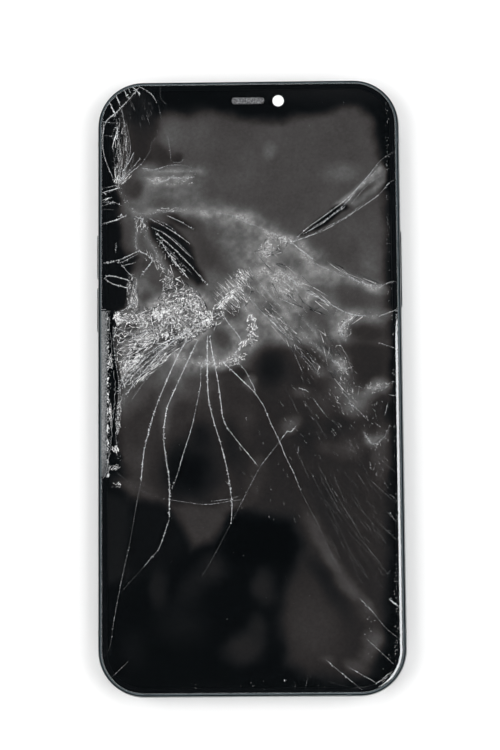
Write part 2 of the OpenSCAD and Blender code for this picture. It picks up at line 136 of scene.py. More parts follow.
class Shader:
    """One material, or the studio's sky, being put together."""

    def __init__(self, name: str, holder: bpy.types.World | None = None) -> None:
        """Starts an empty node tree.

        Args:
            name: Name of the new material.
            holder: The sky that takes the nodes instead of a new material.
        """
        self.holder = holder or bpy.data.materials.new(name)
        self.holder.use_nodes = True
        self.tree = self.holder.node_tree
        self.tree.nodes.clear()

    def add(self, kind: str, settings: dict, inputs: dict, output: int = 0) -> Wire:
        """Makes one node.

        Args:
            kind: The node's type.
            settings: Properties that are set first; "stops" fills a ramp with (place, colour) pairs.
            inputs: Values or wires by socket name or number.
            output: Number of the output that is wanted.

        Returns:
            The wanted output.
        """
        node = self.tree.nodes.new(kind)
        for key, value in settings.items():
            if key == "stops":
                ramp = node.color_ramp
                while len(ramp.elements) < len(value):
                    ramp.elements.new(1.0)
                for element, (place, colour) in zip(ramp.elements, value):
                    element.position = place
                    element.color = (*colour, 1.0)
            else:
                setattr(node, key, value)
        for key, value in inputs.items():
            if isinstance(value, Wire):
                self.tree.links.new(value.socket, node.inputs[key])
            else:
                node.inputs[key].default_value = value
        return Wire(self, node.outputs[output])

    def place(self) -> Wire:
        """Object coordinates."""
        return self.add("ShaderNodeTexCoord", {}, {}, 3)

    def noise(self, scale: float, detail: float = 2.0, distortion: float = 0.0) -> Wire:
        """Noise over the object, from 0 to 1.

        Args:
            scale: Features in a metre.
            detail: Octaves.
            distortion: How far the pattern is bent.

        Returns:
            The noise value.
        """
        inputs = {"Vector": self.place(), "Scale": scale, "Detail": detail, "Distortion": distortion}
        return self.add("ShaderNodeTexNoise", {}, inputs)

    def attribute(self, name: str) -> Wire:
        """The number that a mesh attribute holds."""
        return self.add("ShaderNodeAttribute", {"attribute_name": name}, {}, 2)

    def blend(self, factor: Wire | float, first: Wire | Colour, second: Wire | Colour) -> Wire:
        """Mixes two colours.

        Args:
            factor: Share of the second colour.
            first: Colour at 0.
            second: Colour at 1.

        Returns:
            The mixed colour.
        """
        ends = [c if isinstance(c, Wire) else (*c, 1.0) for c in (first, second)]
        return self.add("ShaderNodeMix", {"data_type": "RGBA"}, {0: factor, 6: ends[0], 7: ends[1]}, 2)

    def bump(self, height: Wire, strength: float, depth: float) -> Wire:
        """A normal with small relief.

        Args:
            height: Relief from 0 to 1.
            strength: Share of the relief that shows.
            depth: Depth of the relief in metres.

        Returns:
            The bumped normal.
        """
        return self.add("ShaderNodeBump", {}, {"Strength": strength, "Distance": depth, "Height": height})

    def surface(self, inputs: dict) -> Wire:
        """A Principled shader with the given inputs."""
        return self.add("ShaderNodeBsdfPrincipled", {}, inputs)

    def see_through(self, share: Wire, shader: Wire) -> Wire:
        """Thins a shader.

        Args:
            share: Share of it that shows; the rest is clear.
            shader: The shader.

        Returns:
            The mixed shader.
        """
        clear = self.add("ShaderNodeBsdfTransparent", {}, {0: (1.0, 1.0, 1.0, 1.0)})
        return self.add("ShaderNodeMixShader", {}, {0: share, 1: clear, 2: shader})

    def done(self, shader: Wire, kind: str = "ShaderNodeOutputMaterial") -> Material | bpy.types.World:
        """Joins a shader to an output of the given kind and gives what holds the nodes."""
        output = self.tree.nodes.new(kind)
        self.tree.links.new(shader.socket, output.inputs[0])
        return self.holder


# ---------- finishes ----------


@dataclass(frozen=True)
class Finish:
    """A finish with soft patches of a second colour and a fine grain.

    Attributes:
        name: Name of the material.
        colour: Main colour, linear.
        worn: Colour of the patches, linear.
        rough: Roughness.
        metal: How metallic it is.
        patches: Patches in a metre.
        grain: Grains in a metre.
        relief: Strength of the grain's relief.
        amount: Share of the second colour at most.
        coat: Clear coat weight.
        patch_start: Noise level at which a patch begins.
        patch_contrast: How sharply a patch begins.
        grain_share: Share of the second colour that follows the grain and not the patches.
        uneven: How far the roughness varies with the grain.
        depth: Depth of the grain in metres.
    """

    name: str
    colour: Colour
    worn: Colour
    rough: float
    metal: float = 0.0
    patches: float = 150.0
    grain: float = 3000.0
    relief: float = 0.15
    amount: float = 0.7
    coat: float = 0.0
    patch_start: float = 0.42
    patch_contrast: float = 4.0
    grain_share: float = 0.2
    uneven: float = 0.25
    depth: float = 0.00003

    def material(self) -> Material:
        """Builds the material."""
        shader = Shader(self.name)
        patch = ((shader.noise(self.patches, 4.0) - self.patch_start) * self.patch_contrast).clamped()
        grain = shader.noise(self.grain)
        in_patches = patch * self.amount * (1 - self.grain_share)
        mixed = (in_patches + grain * self.amount * self.grain_share).clamped()
        return shader.done(
            shader.surface(
                {
                    "Base Color": shader.blend(mixed, self.colour, self.worn),
                    "Metallic": self.metal,
                    "Roughness": (grain - 0.5) * self.uneven + self.rough,
                    "Coat Weight": self.coat,
                    "Normal": shader.bump(grain, self.relief, self.depth),
                }
            )
        )


@dataclass(frozen=True)
class BandFinish:
    """Dark blue-green anodised metal whose rims have rubbed bright.

    Attributes:
        low: Height of the lower rim.
        high: Height of the upper rim.
        rub: Width of the rubbed strip at each rim.
        dark: Colour of the anodised skin.
        bright: Colour where it has rubbed off.
        brushing: Streaks in a metre along each axis.
        scuff_start: Noise level at which a scuff begins.
    """

    low: float
    high: float
    rub: float = 0.12
    dark: Colour = (0.008, 0.026, 0.036)
    bright: Colour = (0.06, 0.085, 0.095)
    brushing: Place = (400.0, 400.0, 9000.0)
    scuff_start: float = 0.63

    def material(self) -> Material:
        """Builds the material."""
        shader = Shader("band_anodised")
        height = shader.add("ShaderNodeSeparateXYZ", {}, {0: shader.place()}, 2) * (1 / MM)
        middle, reach = (self.low + self.high) / 2, (self.high - self.low) / 2
        offset = height - middle
        far = shader.add("ShaderNodeMath", {"operation": "ABSOLUTE"}, {0: offset})
        patches = shader.noise(260.0, 5.0)
        rim = ((far - (reach - self.rub)) * (1 / self.rub) + (patches - 0.55) * 3.0).clamped()
        scuffs = ((shader.noise(900.0, 6.0, 1.5) - self.scuff_start) * 9.0).clamped() * 0.5
        streaks = shader.add("ShaderNodeMapping", {}, {0: shader.place(), 3: self.brushing})
        brushed = shader.add("ShaderNodeTexNoise", {}, {"Vector": streaks, "Scale": 1.0, "Detail": 2.0})
        worn = (rim * 0.8 + scuffs).clamped()
        return shader.done(
            shader.surface(
                {
                    "Base Color": shader.blend(worn, self.dark, self.bright),
                    "Metallic": 1.0,
                    "Roughness": brushed * 0.18 + 0.2 + worn * 0.15,
                    "Normal": shader.bump(brushed, 0.08, 0.00001),
                }
            )
        )


@dataclass(frozen=True)
class FrameFinish:
    """Black frame under the glass, with a grey lip that stands up round the glass.

    Attributes:
        lip_start: Height from which the lip shows.
        ink: Colour under the glass.
        lip: Colour of the lip.
        steep: How fast the lip's colour sets in, in each millimetre of height.
    """

    lip_start: float
    ink: Colour = (0.003, 0.004, 0.005)
    lip: Colour = (0.085, 0.105, 0.115)
    steep: float = 40.0

    def material(self) -> Material:
        """Builds the material."""
        shader = Shader("frame_lip")
        height = shader.add("ShaderNodeSeparateXYZ", {}, {0: shader.place()}, 2) * (1 / MM)
        fine = shader.noise(900.0, 3.0)
        lip = ((height - self.lip_start) * self.steep).clamped() * (fine * 1.2 + 0.3)
        return shader.done(
            shader.surface(
                {
                    "Base Color": shader.blend(lip.clamped(), self.ink, self.lip),
                    "Roughness": fine * 0.2 + 0.5,
                    "Specular IOR Level": 0.05,
                    "Normal": shader.bump(fine, 0.1, 0.00002),
                }
            )
        )


@dataclass(frozen=True)
class ClearGlass:
    """Glass that shows what lies under it and mirrors more at a flat angle.

    Attributes:
        name: Name of the material.
        smear: Highest roughness that finger marks give.
        coated: Share that is mirrored at a right angle.
        polish: Lowest roughness.
        tint: Colour of what it mirrors.
    """

    name: str
    smear: float = 0.09
    coated: float = 0.05
    polish: float = 0.02
    tint: Colour = (0.96, 0.98, 1.0)

    def material(self) -> Material:
        """Builds the material."""
        shader = Shader(self.name)
        facing = shader.add("ShaderNodeLayerWeight", {}, {0: 0.5}, 1)
        mirrored = facing**5.0 * 0.9 + self.coated
        marks = ((shader.noise(45.0, 5.0, 2.0) - 0.5) * 5.0).clamped()
        rough = marks * self.smear + self.polish
        gloss = shader.surface({"Base Color": (*self.tint, 1.0), "Metallic": 1.0, "Roughness": rough})
        return shader.done(shader.see_through(mirrored, gloss))


@dataclass(frozen=True)
class CloudedDisplay:
    """Black display whose layers have parted, so that a grey cloud shows.

    Attributes:
        shadow: Tint of the black.
        warm: Tint of the dim cloud.
        plain: Tint of the bright cloud.
        gain: Brightness of the whole cloud.
        grains: Strength of the grains that the bright cloud shows.
        gamma: Exponent that turns display levels into light.
        foot: Level that the curve starts below zero.
    """

    shadow: Colour = (0.78, 1.0, 1.16)
    warm: Colour = (1.07, 0.98, 0.965)
    plain: Colour = (1.0, 0.995, 0.99)
    gain: float = 0.92
    grains: float = 1.9
    gamma: float = 2.4
    foot: float = 0.055

    def material(self) -> Material:
        """Builds the material."""
        shader = Shader("clouded_display")
        fine = shader.noise(1500.0, 5.0, 0.6)
        level = shader.attribute(BLOOM)
        grains = (shader.noise(2600.0) - 0.5) * ((level - 0.50) * 8.0).clamped()
        level = level * (fine * 0.30 + 0.85) * (grains * self.grains + 1.0)
        light = ((level + self.foot) * (1 / (1 + self.foot))) ** self.gamma
        tint = shader.blend(((level - 0.05) * 9.0).clamped(), self.shadow, self.warm)
        tint = shader.blend(((level - 0.2) * 7.0).clamped(), tint, self.plain)
        colour = shader.add("ShaderNodeVectorMath", {"operation": "SCALE"}, {0: tint, 3: light * self.gain})
        dull = {"Base Color": colour, "Roughness": 0.55, "Specular IOR Level": 0.0}
        return shader.done(shader.surface(dull))


@dataclass(frozen=True)
class BrokenGlass:
    """White fracture faces, clear where the crack turns its face away.

    Attributes:
        name: Name of the material.
        clear: True if the glint attribute thins the faces.
        colour: Colour of the lit fracture face, linear.
        dull: Colour where its grain lies in shade.
    """

    name: str
    clear: bool = True
    colour: Colour = (0.90, 0.92, 0.94)
    dull: Colour = (0.45, 0.47, 0.48)

    def material(self) -> Material:
        """Builds the material."""
        shader = Shader(self.name)
        fine = shader.noise(2600.0, 3.0)
        white = shader.surface(
            {
                "Base Color": shader.blend(fine * 0.3, self.colour, self.dull),
                "Roughness": fine * 0.2 + 0.2,
                "Normal": shader.bump(fine, 0.3, 0.00004),
            }
        )
        if not self.clear:
            return shader.done(white)
        shown = (shader.attribute(GLINT) * (fine * 4.0 - 1.0)).clamped()
        return shader.done(shader.see_through(shown, white))


@dataclass(frozen=True)
class GroundGlass:
    """Crushed glass and torn adhesive left on a ledge, from dark grey to white by glint.

    Attributes:
        name: Name of the material.
        dark: Colour where the glint is least.
        light: Colour where it is most.
    """

    name: str
    dark: Colour = (0.012, 0.014, 0.016)
    light: Colour = (0.92, 0.94, 0.95)

    def material(self) -> Material:
        """Builds the material."""
        shader = Shader(self.name)
        fine = shader.noise(3500.0, 4.0)
        glint = (shader.attribute(GLINT) * (fine * 0.9 + 0.55)).clamped()
        return shader.done(
            shader.surface(
                {
                    "Base Color": shader.blend(glint, self.dark, self.light),
                    "Roughness": fine * 0.3 + 0.25,
                    "Normal": shader.bump(fine, 0.5, 0.00005),
                }
            )
        )


INK: Colour = (0.004, 0.0055, 0.0065)
FINISHES: dict[str, Finish] = {
    "mesh_metal": Finish(
        "woven_steel", (0.04, 0.04, 0.043), (0.52, 0.53, 0.55), 0.5, patches=2600.0, relief=0.4
    ),
    # Painted glint: this near-white finish makes the window beside the earpiece a bright white dot. It
    # stands in for the glint on the front camera window.
    "milky_plastic": Finish("milky_plastic", (0.97, 0.97, 0.97), (0.88, 0.89, 0.90), 0.5, relief=0.05),
    "circuit_board": Finish(
        "circuit_board", (0.006, 0.022, 0.016), (0.02, 0.05, 0.035), 0.45, patches=900.0
    ),
    "black_plastic": Finish(
        "black_plastic", (0.010, 0.011, 0.012), (0.022, 0.023, 0.025), 0.55, relief=0.4
    ),
    "sheet_metal": Finish("stamped_steel", (0.34, 0.35, 0.36), (0.50, 0.50, 0.49), 0.35, 1.0),
    "dark_display": Finish("dark_display", INK, (0.008, 0.010, 0.012), 0.4, relief=0.05),
    "seal_foam": Finish("seal_foam", (0.014, 0.014, 0.015), (0.035, 0.034, 0.033), 0.9, relief=0.8),
    "flex_film": Finish("flex_film", (0.09, 0.045, 0.012), (0.16, 0.085, 0.03), 0.35, coat=0.4),
    "break_plastic": Finish("break_plastic", (0.018, 0.028, 0.034), (0.05, 0.06, 0.065), 0.5),
    "inner_aluminium": Finish("milled_aluminium", (0.42, 0.43, 0.44), (0.28, 0.29, 0.30), 0.4, 1.0),
    "back_glass": Finish(
        "dark_back_glass", (0.008, 0.014, 0.018), (0.014, 0.021, 0.026), 0.12,
        patches=60.0, relief=0.03, coat=1.0,
    ),
    "lens_glass": Finish(
        "lens_glass", (0.004, 0.005, 0.009), (0.010, 0.010, 0.022), 0.08, coat=1.0, relief=0.0
    ),
    "ring_metal": Finish("ring_metal", (0.10, 0.13, 0.15), (0.30, 0.32, 0.34), 0.25, 1.0),
    "flash_plastic": Finish(
        "flash_lens", (0.78, 0.74, 0.60), (0.90, 0.87, 0.74), 0.25, relief=0.5, coat=0.5
    ),
    "battery_wrap": Finish("battery_wrap", (0.018, 0.018, 0.019), (0.045, 0.045, 0.046), 0.4, patches=90.0),
    "screw_steel": Finish("screw_steel", (0.30, 0.32, 0.34), (0.14, 0.15, 0.16), 0.3, 1.0, 900.0),
    "coil_copper": Finish("coil_copper", (0.62, 0.27, 0.12), (0.40, 0.17, 0.08), 0.35, 1.0),
    "ferrite": Finish("ferrite", (0.022, 0.021, 0.021), (0.04, 0.038, 0.036), 0.75, relief=0.5),
}


# ---------- mesh helpers ----------


def placed(name: str, data: bpy.types.ID) -> bpy.types.Object:
    """A new object in the scene."""
    thing = bpy.data.objects.new(name, data)
    bpy.context.scene.collection.objects.link(thing)
    return thing


def mesh_from(bm: BMesh, name: str, materials: list[Material]) -> bpy.types.Mesh:
    """Turns a draft into a mesh with the given materials and frees the draft."""
    mesh = bpy.data.meshes.new(name)
    bm.to_mesh(mesh)
    bm.free()
    for material in materials:
        mesh.materials.append(material)
    return mesh


def piece_from(
    bm: BMesh,
    name: str,
    materials: list[Material],
    smooth: float | None = None,
    body: str = "housing",
    replaces: tuple[str, ...] = (),
) -> bpy.types.Object:
    """Makes a finished piece from a bmesh drawn in millimetres.

    Args:
        bm: The mesh, which is freed.
        name: Name of the piece.
        materials: Materials by face index.
        smooth: Angle in degrees up to which edges are shaded smooth, or None for flat faces.
        body: CAD body that it rides on.
        replaces: CAD nodes that it stands for.

    Returns:
        The new object.
    """
    bmesh.ops.scale(bm, vec=(MM, MM, MM), verts=bm.verts)
    mesh = mesh_from(bm, name, materials)
    if smooth is not None:
        mesh.shade_smooth()
        mesh.set_sharp_from_angle(angle=math.radians(smooth))
    piece = placed(name, mesh)
    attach(piece, body)
    if replaces:
        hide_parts(*replaces)
    LOG.info("%s: %d faces", name, len(mesh.polygons))
    return piece


def glinting() -> BMesh:
    """An empty mesh whose points can hold a glint."""
    bm = bmesh.new()
    bm.verts.layers.float.new(GLINT)
    return bm


def extruded(bm: BMesh, faces: list) -> tuple[list, list]:
    """Extrudes faces as one region.

    Args:
        bm: The mesh.
        faces: Its faces that are extruded.

    Returns:
        The new points and the new faces.
    """
    made = bmesh.ops.extrude_face_region(bm, geom=faces)["geom"]
    verts = [v for v in made if isinstance(v, bmesh.types.BMVert)]
    return verts, [f for f in made if isinstance(f, bmesh.types.BMFace)]


def absorb(target: BMesh, part: BMesh) -> None:
    """Moves everything in part to target and frees part."""
    mesh = mesh_from(part, "part", [])
    target.from_mesh(mesh)
    bpy.data.meshes.remove(mesh)


def prism(outline: list[Vector], low: float, high: float) -> BMesh:
    """Straight block over an outline.

    Args:
        outline: Corners in order.
        low: Height of its foot.
        high: Height of its top.

    Returns:
        The block's mesh, with its faces outwards.
    """
    bm = bmesh.new()
    face = bm.faces.new([bm.verts.new((p.x, p.y, low)) for p in outline])
    top, _ = extruded(bm, [face])
    bmesh.ops.translate(bm, vec=(0, 0, high - low), verts=top)
    bmesh.ops.recalc_face_normals(bm, faces=bm.faces)
    return bm


def slab(half_w: float, half_l: float, radius: float, low: float, high: float, steps: int) -> BMesh:
    """Flat slab with round corners, centred on the frame's axes.

    Args:
        half_w: Half its width.
        half_l: Half its length.
        radius: Radius of its corners.
        low: Height of its underside.
        high: Height of its top.
        steps: Segments in each corner.

    Returns:
        The slab's mesh.
    """
    bm = bmesh.new()
    size = Matrix.Diagonal((2 * half_w, 2 * half_l, high - low, 1))
    bmesh.ops.create_cube(bm, size=1.0, matrix=Matrix.Translation((0, 0, (low + high) / 2)) @ size)
    upright = [e for e in bm.edges if abs(e.verts[0].co.z - e.verts[1].co.z) > TINY]
    bevel(bm, upright, radius, steps)
    return bm


def bevel(bm: BMesh, edges: list, width: float, steps: int) -> None:
    """Rounds some edges.

    Args:
        bm: The mesh.
        edges: Edges to round.
        width: Width of the rounding.
        steps: Segments across it.
    """
    bmesh.ops.bevel(
        bm, geom=edges, offset=width, offset_type="OFFSET", segments=steps, profile=0.5,
        affect="EDGES", material=-1, clamp_overlap=True,
    )


def carve(body: BMesh, cutters: list[BMesh], materials: list) -> BMesh:
    """Cuts blocks out of a body.

    Args:
        body: The body, which is freed.
        cutters: The blocks, which are freed.
        materials: The body's materials; a cutter's faces take the one at their own index.

    Returns:
        What is left.
    """
    made = [placed("carved", mesh_from(bm, "carved", materials)) for bm in (body, *cutters)]
    for cutter in made[1:]:
        cut = made[0].modifiers.new("cut", "BOOLEAN")
        cut.operation, cut.solver, cut.object = "DIFFERENCE", "EXACT", cutter
    shown = made[0].evaluated_get(bpy.context.evaluated_depsgraph_get())
    left = bmesh.new()
    left.from_mesh(shown.to_mesh())
    shown.to_mesh_clear()
    for thing in made:
        mesh = thing.data
        bpy.data.objects.remove(thing)
        bpy.data.meshes.remove(mesh)
    return left


def resample(route: Route, step: float) -> list[Vector]:
    """Points along a smooth line through a route.

    Args:
        route: The points that it passes.
        step: Distance between the new points.

    Returns:
        The new points, ends included.
    """
    points = [Vector(p) for p in route]
    padded = [points[0] * 2 - points[1], *points, points[-1] * 2 - points[-2]]
    fine = []
    for a, b, c, d in zip(padded, padded[1:], padded[2:], padded[3:]):
        pieces = max(1, round((c - b).length / step))
        for k in range(pieces):
            t = k / pieces
            curve = b * 2 + (c - a) * t + (a * 2 - b * 5 + c * 4 - d) * t**2 + (b * 3 - a - c * 3 + d) * t**3
            fine.append(curve * 0.5)
    fine.append(points[-1])
    return fine


# ---------- outlines and damage ----------


@dataclass(frozen=True)
class Outline:
    """Rounded rectangle that a layer of the phone follows.

    Attributes:
        half_w: Half its width.
        half_l: Half its length.
        radius: Radius of its corners.
    """

    half_w: float
    half_l: float
    radius: float

    def depth(self, x: np.ndarray, y: np.ndarray) -> np.ndarray:
        """How far inside the outline places are; negative outside."""
        across = np.abs(x) - (self.half_w - self.radius)
        along = np.abs(y) - (self.half_l - self.radius)
        corner = np.hypot(np.maximum(across, 0), np.maximum(along, 0))
        return self.radius - corner - np.minimum(np.maximum(across, along), 0)

    def held(self, x: float, y: float) -> Point:
        """The place itself, or the nearest one on the outline if it lies outside a round corner."""
        cx = math.copysign(self.half_w - self.radius, x)
        cy = math.copysign(self.half_l - self.radius, y)
        out = Vector((x - cx, y - cy))
        if (x - cx) * cx > 0 and (y - cy) * cy > 0 and out.length > self.radius:
            out = out.normalized() * self.radius
            return cx + out.x, cy + out.y
        return x, y


GLASS_LOW, GLASS_HIGH = box_mm("cover_glass")
GLASS_CORNER = 9.75
GLASS = Outline(GLASS_HIGH.x, GLASS_HIGH.y, GLASS_CORNER)
EDGE_RUN = 1.3
EDGE_DROP = 0.45


def glass_top(x: float, y: float) -> float:
    """Height of the glass's upper face at a place, its soft edge included."""
    short = min(max(EDGE_RUN - float(GLASS.depth(np.float64(x), np.float64(y))), 0.0), EDGE_RUN)
    return GLASS_HIGH.z - EDGE_DROP * (1 - math.sqrt(1 - (short / EDGE_RUN) ** 2))


@dataclass(frozen=True)
class Line:
    """How one kind of crack looks.

    Attributes:
        width: Width of its face.
        jag: How far it jumps sideways.
        faint: Glint where it is weakest.
        bright: Glint where it is strongest.
        beads: Splinters in a millimetre along it.
        spread: How far splinters lie from it.
        bloom: How much it lifts the cloud below it, in display levels.
        reach: How far that lift reaches.
        fade: Share of the glint that is lost from its start to its end.
    """

    width: float
    jag: float
    faint: float
    bright: float
    beads: float = 0.0
    spread: float = 0.1
    bloom: float = 0.0
    reach: float = 1.2
    fade: float = 0.0


class Style(Enum):
    """Kinds of crack."""

    VEIN = Line(0.125, 0.05, 0.30, 1.0, 2.2, 0.07, 9.0, 1.0, 0.35)
    FINE = Line(0.095, 0.05, 0.15, 0.80, 1.2, 0.06, 4.0, 1.0, 0.2)
    SEAM = Line(0.075, 0.14, 0.03, 0.50, 3.0, 0.30, 30.0, 1.2)
    VEIL = Line(0.055, 0.10, 0.02, 0.30, 2.4, 0.25, 30.0, 1.4)
    SPIKE = Line(0.20, 0.05, 0.60, 1.0, 1.5, 0.10)
    HAIR = Line(0.075, 0.03, 0.06, 0.40, 0.3, 0.05, 0.0, 1.0, 0.3)
    GHOST = Line(0.06, 0.03, 0.02, 0.15, 0.0, 0.1, 4.0, 1.4)
    DENSE = Line(0.10, 0.14, 0.25, 0.95, 4.0, 0.45, 16.0, 1.2)

    def along(self, *route: Point) -> "Crack":
        """One crack of this kind that passes the given places."""
        return Crack(self, route)


@dataclass(frozen=True)
class Crack:
    """One crack: its kind and the places that it passes."""

    style: Style
    route: Route


vein, fine, seam, veil, spike, hair, ghost, dense = (style.along for style in Style)

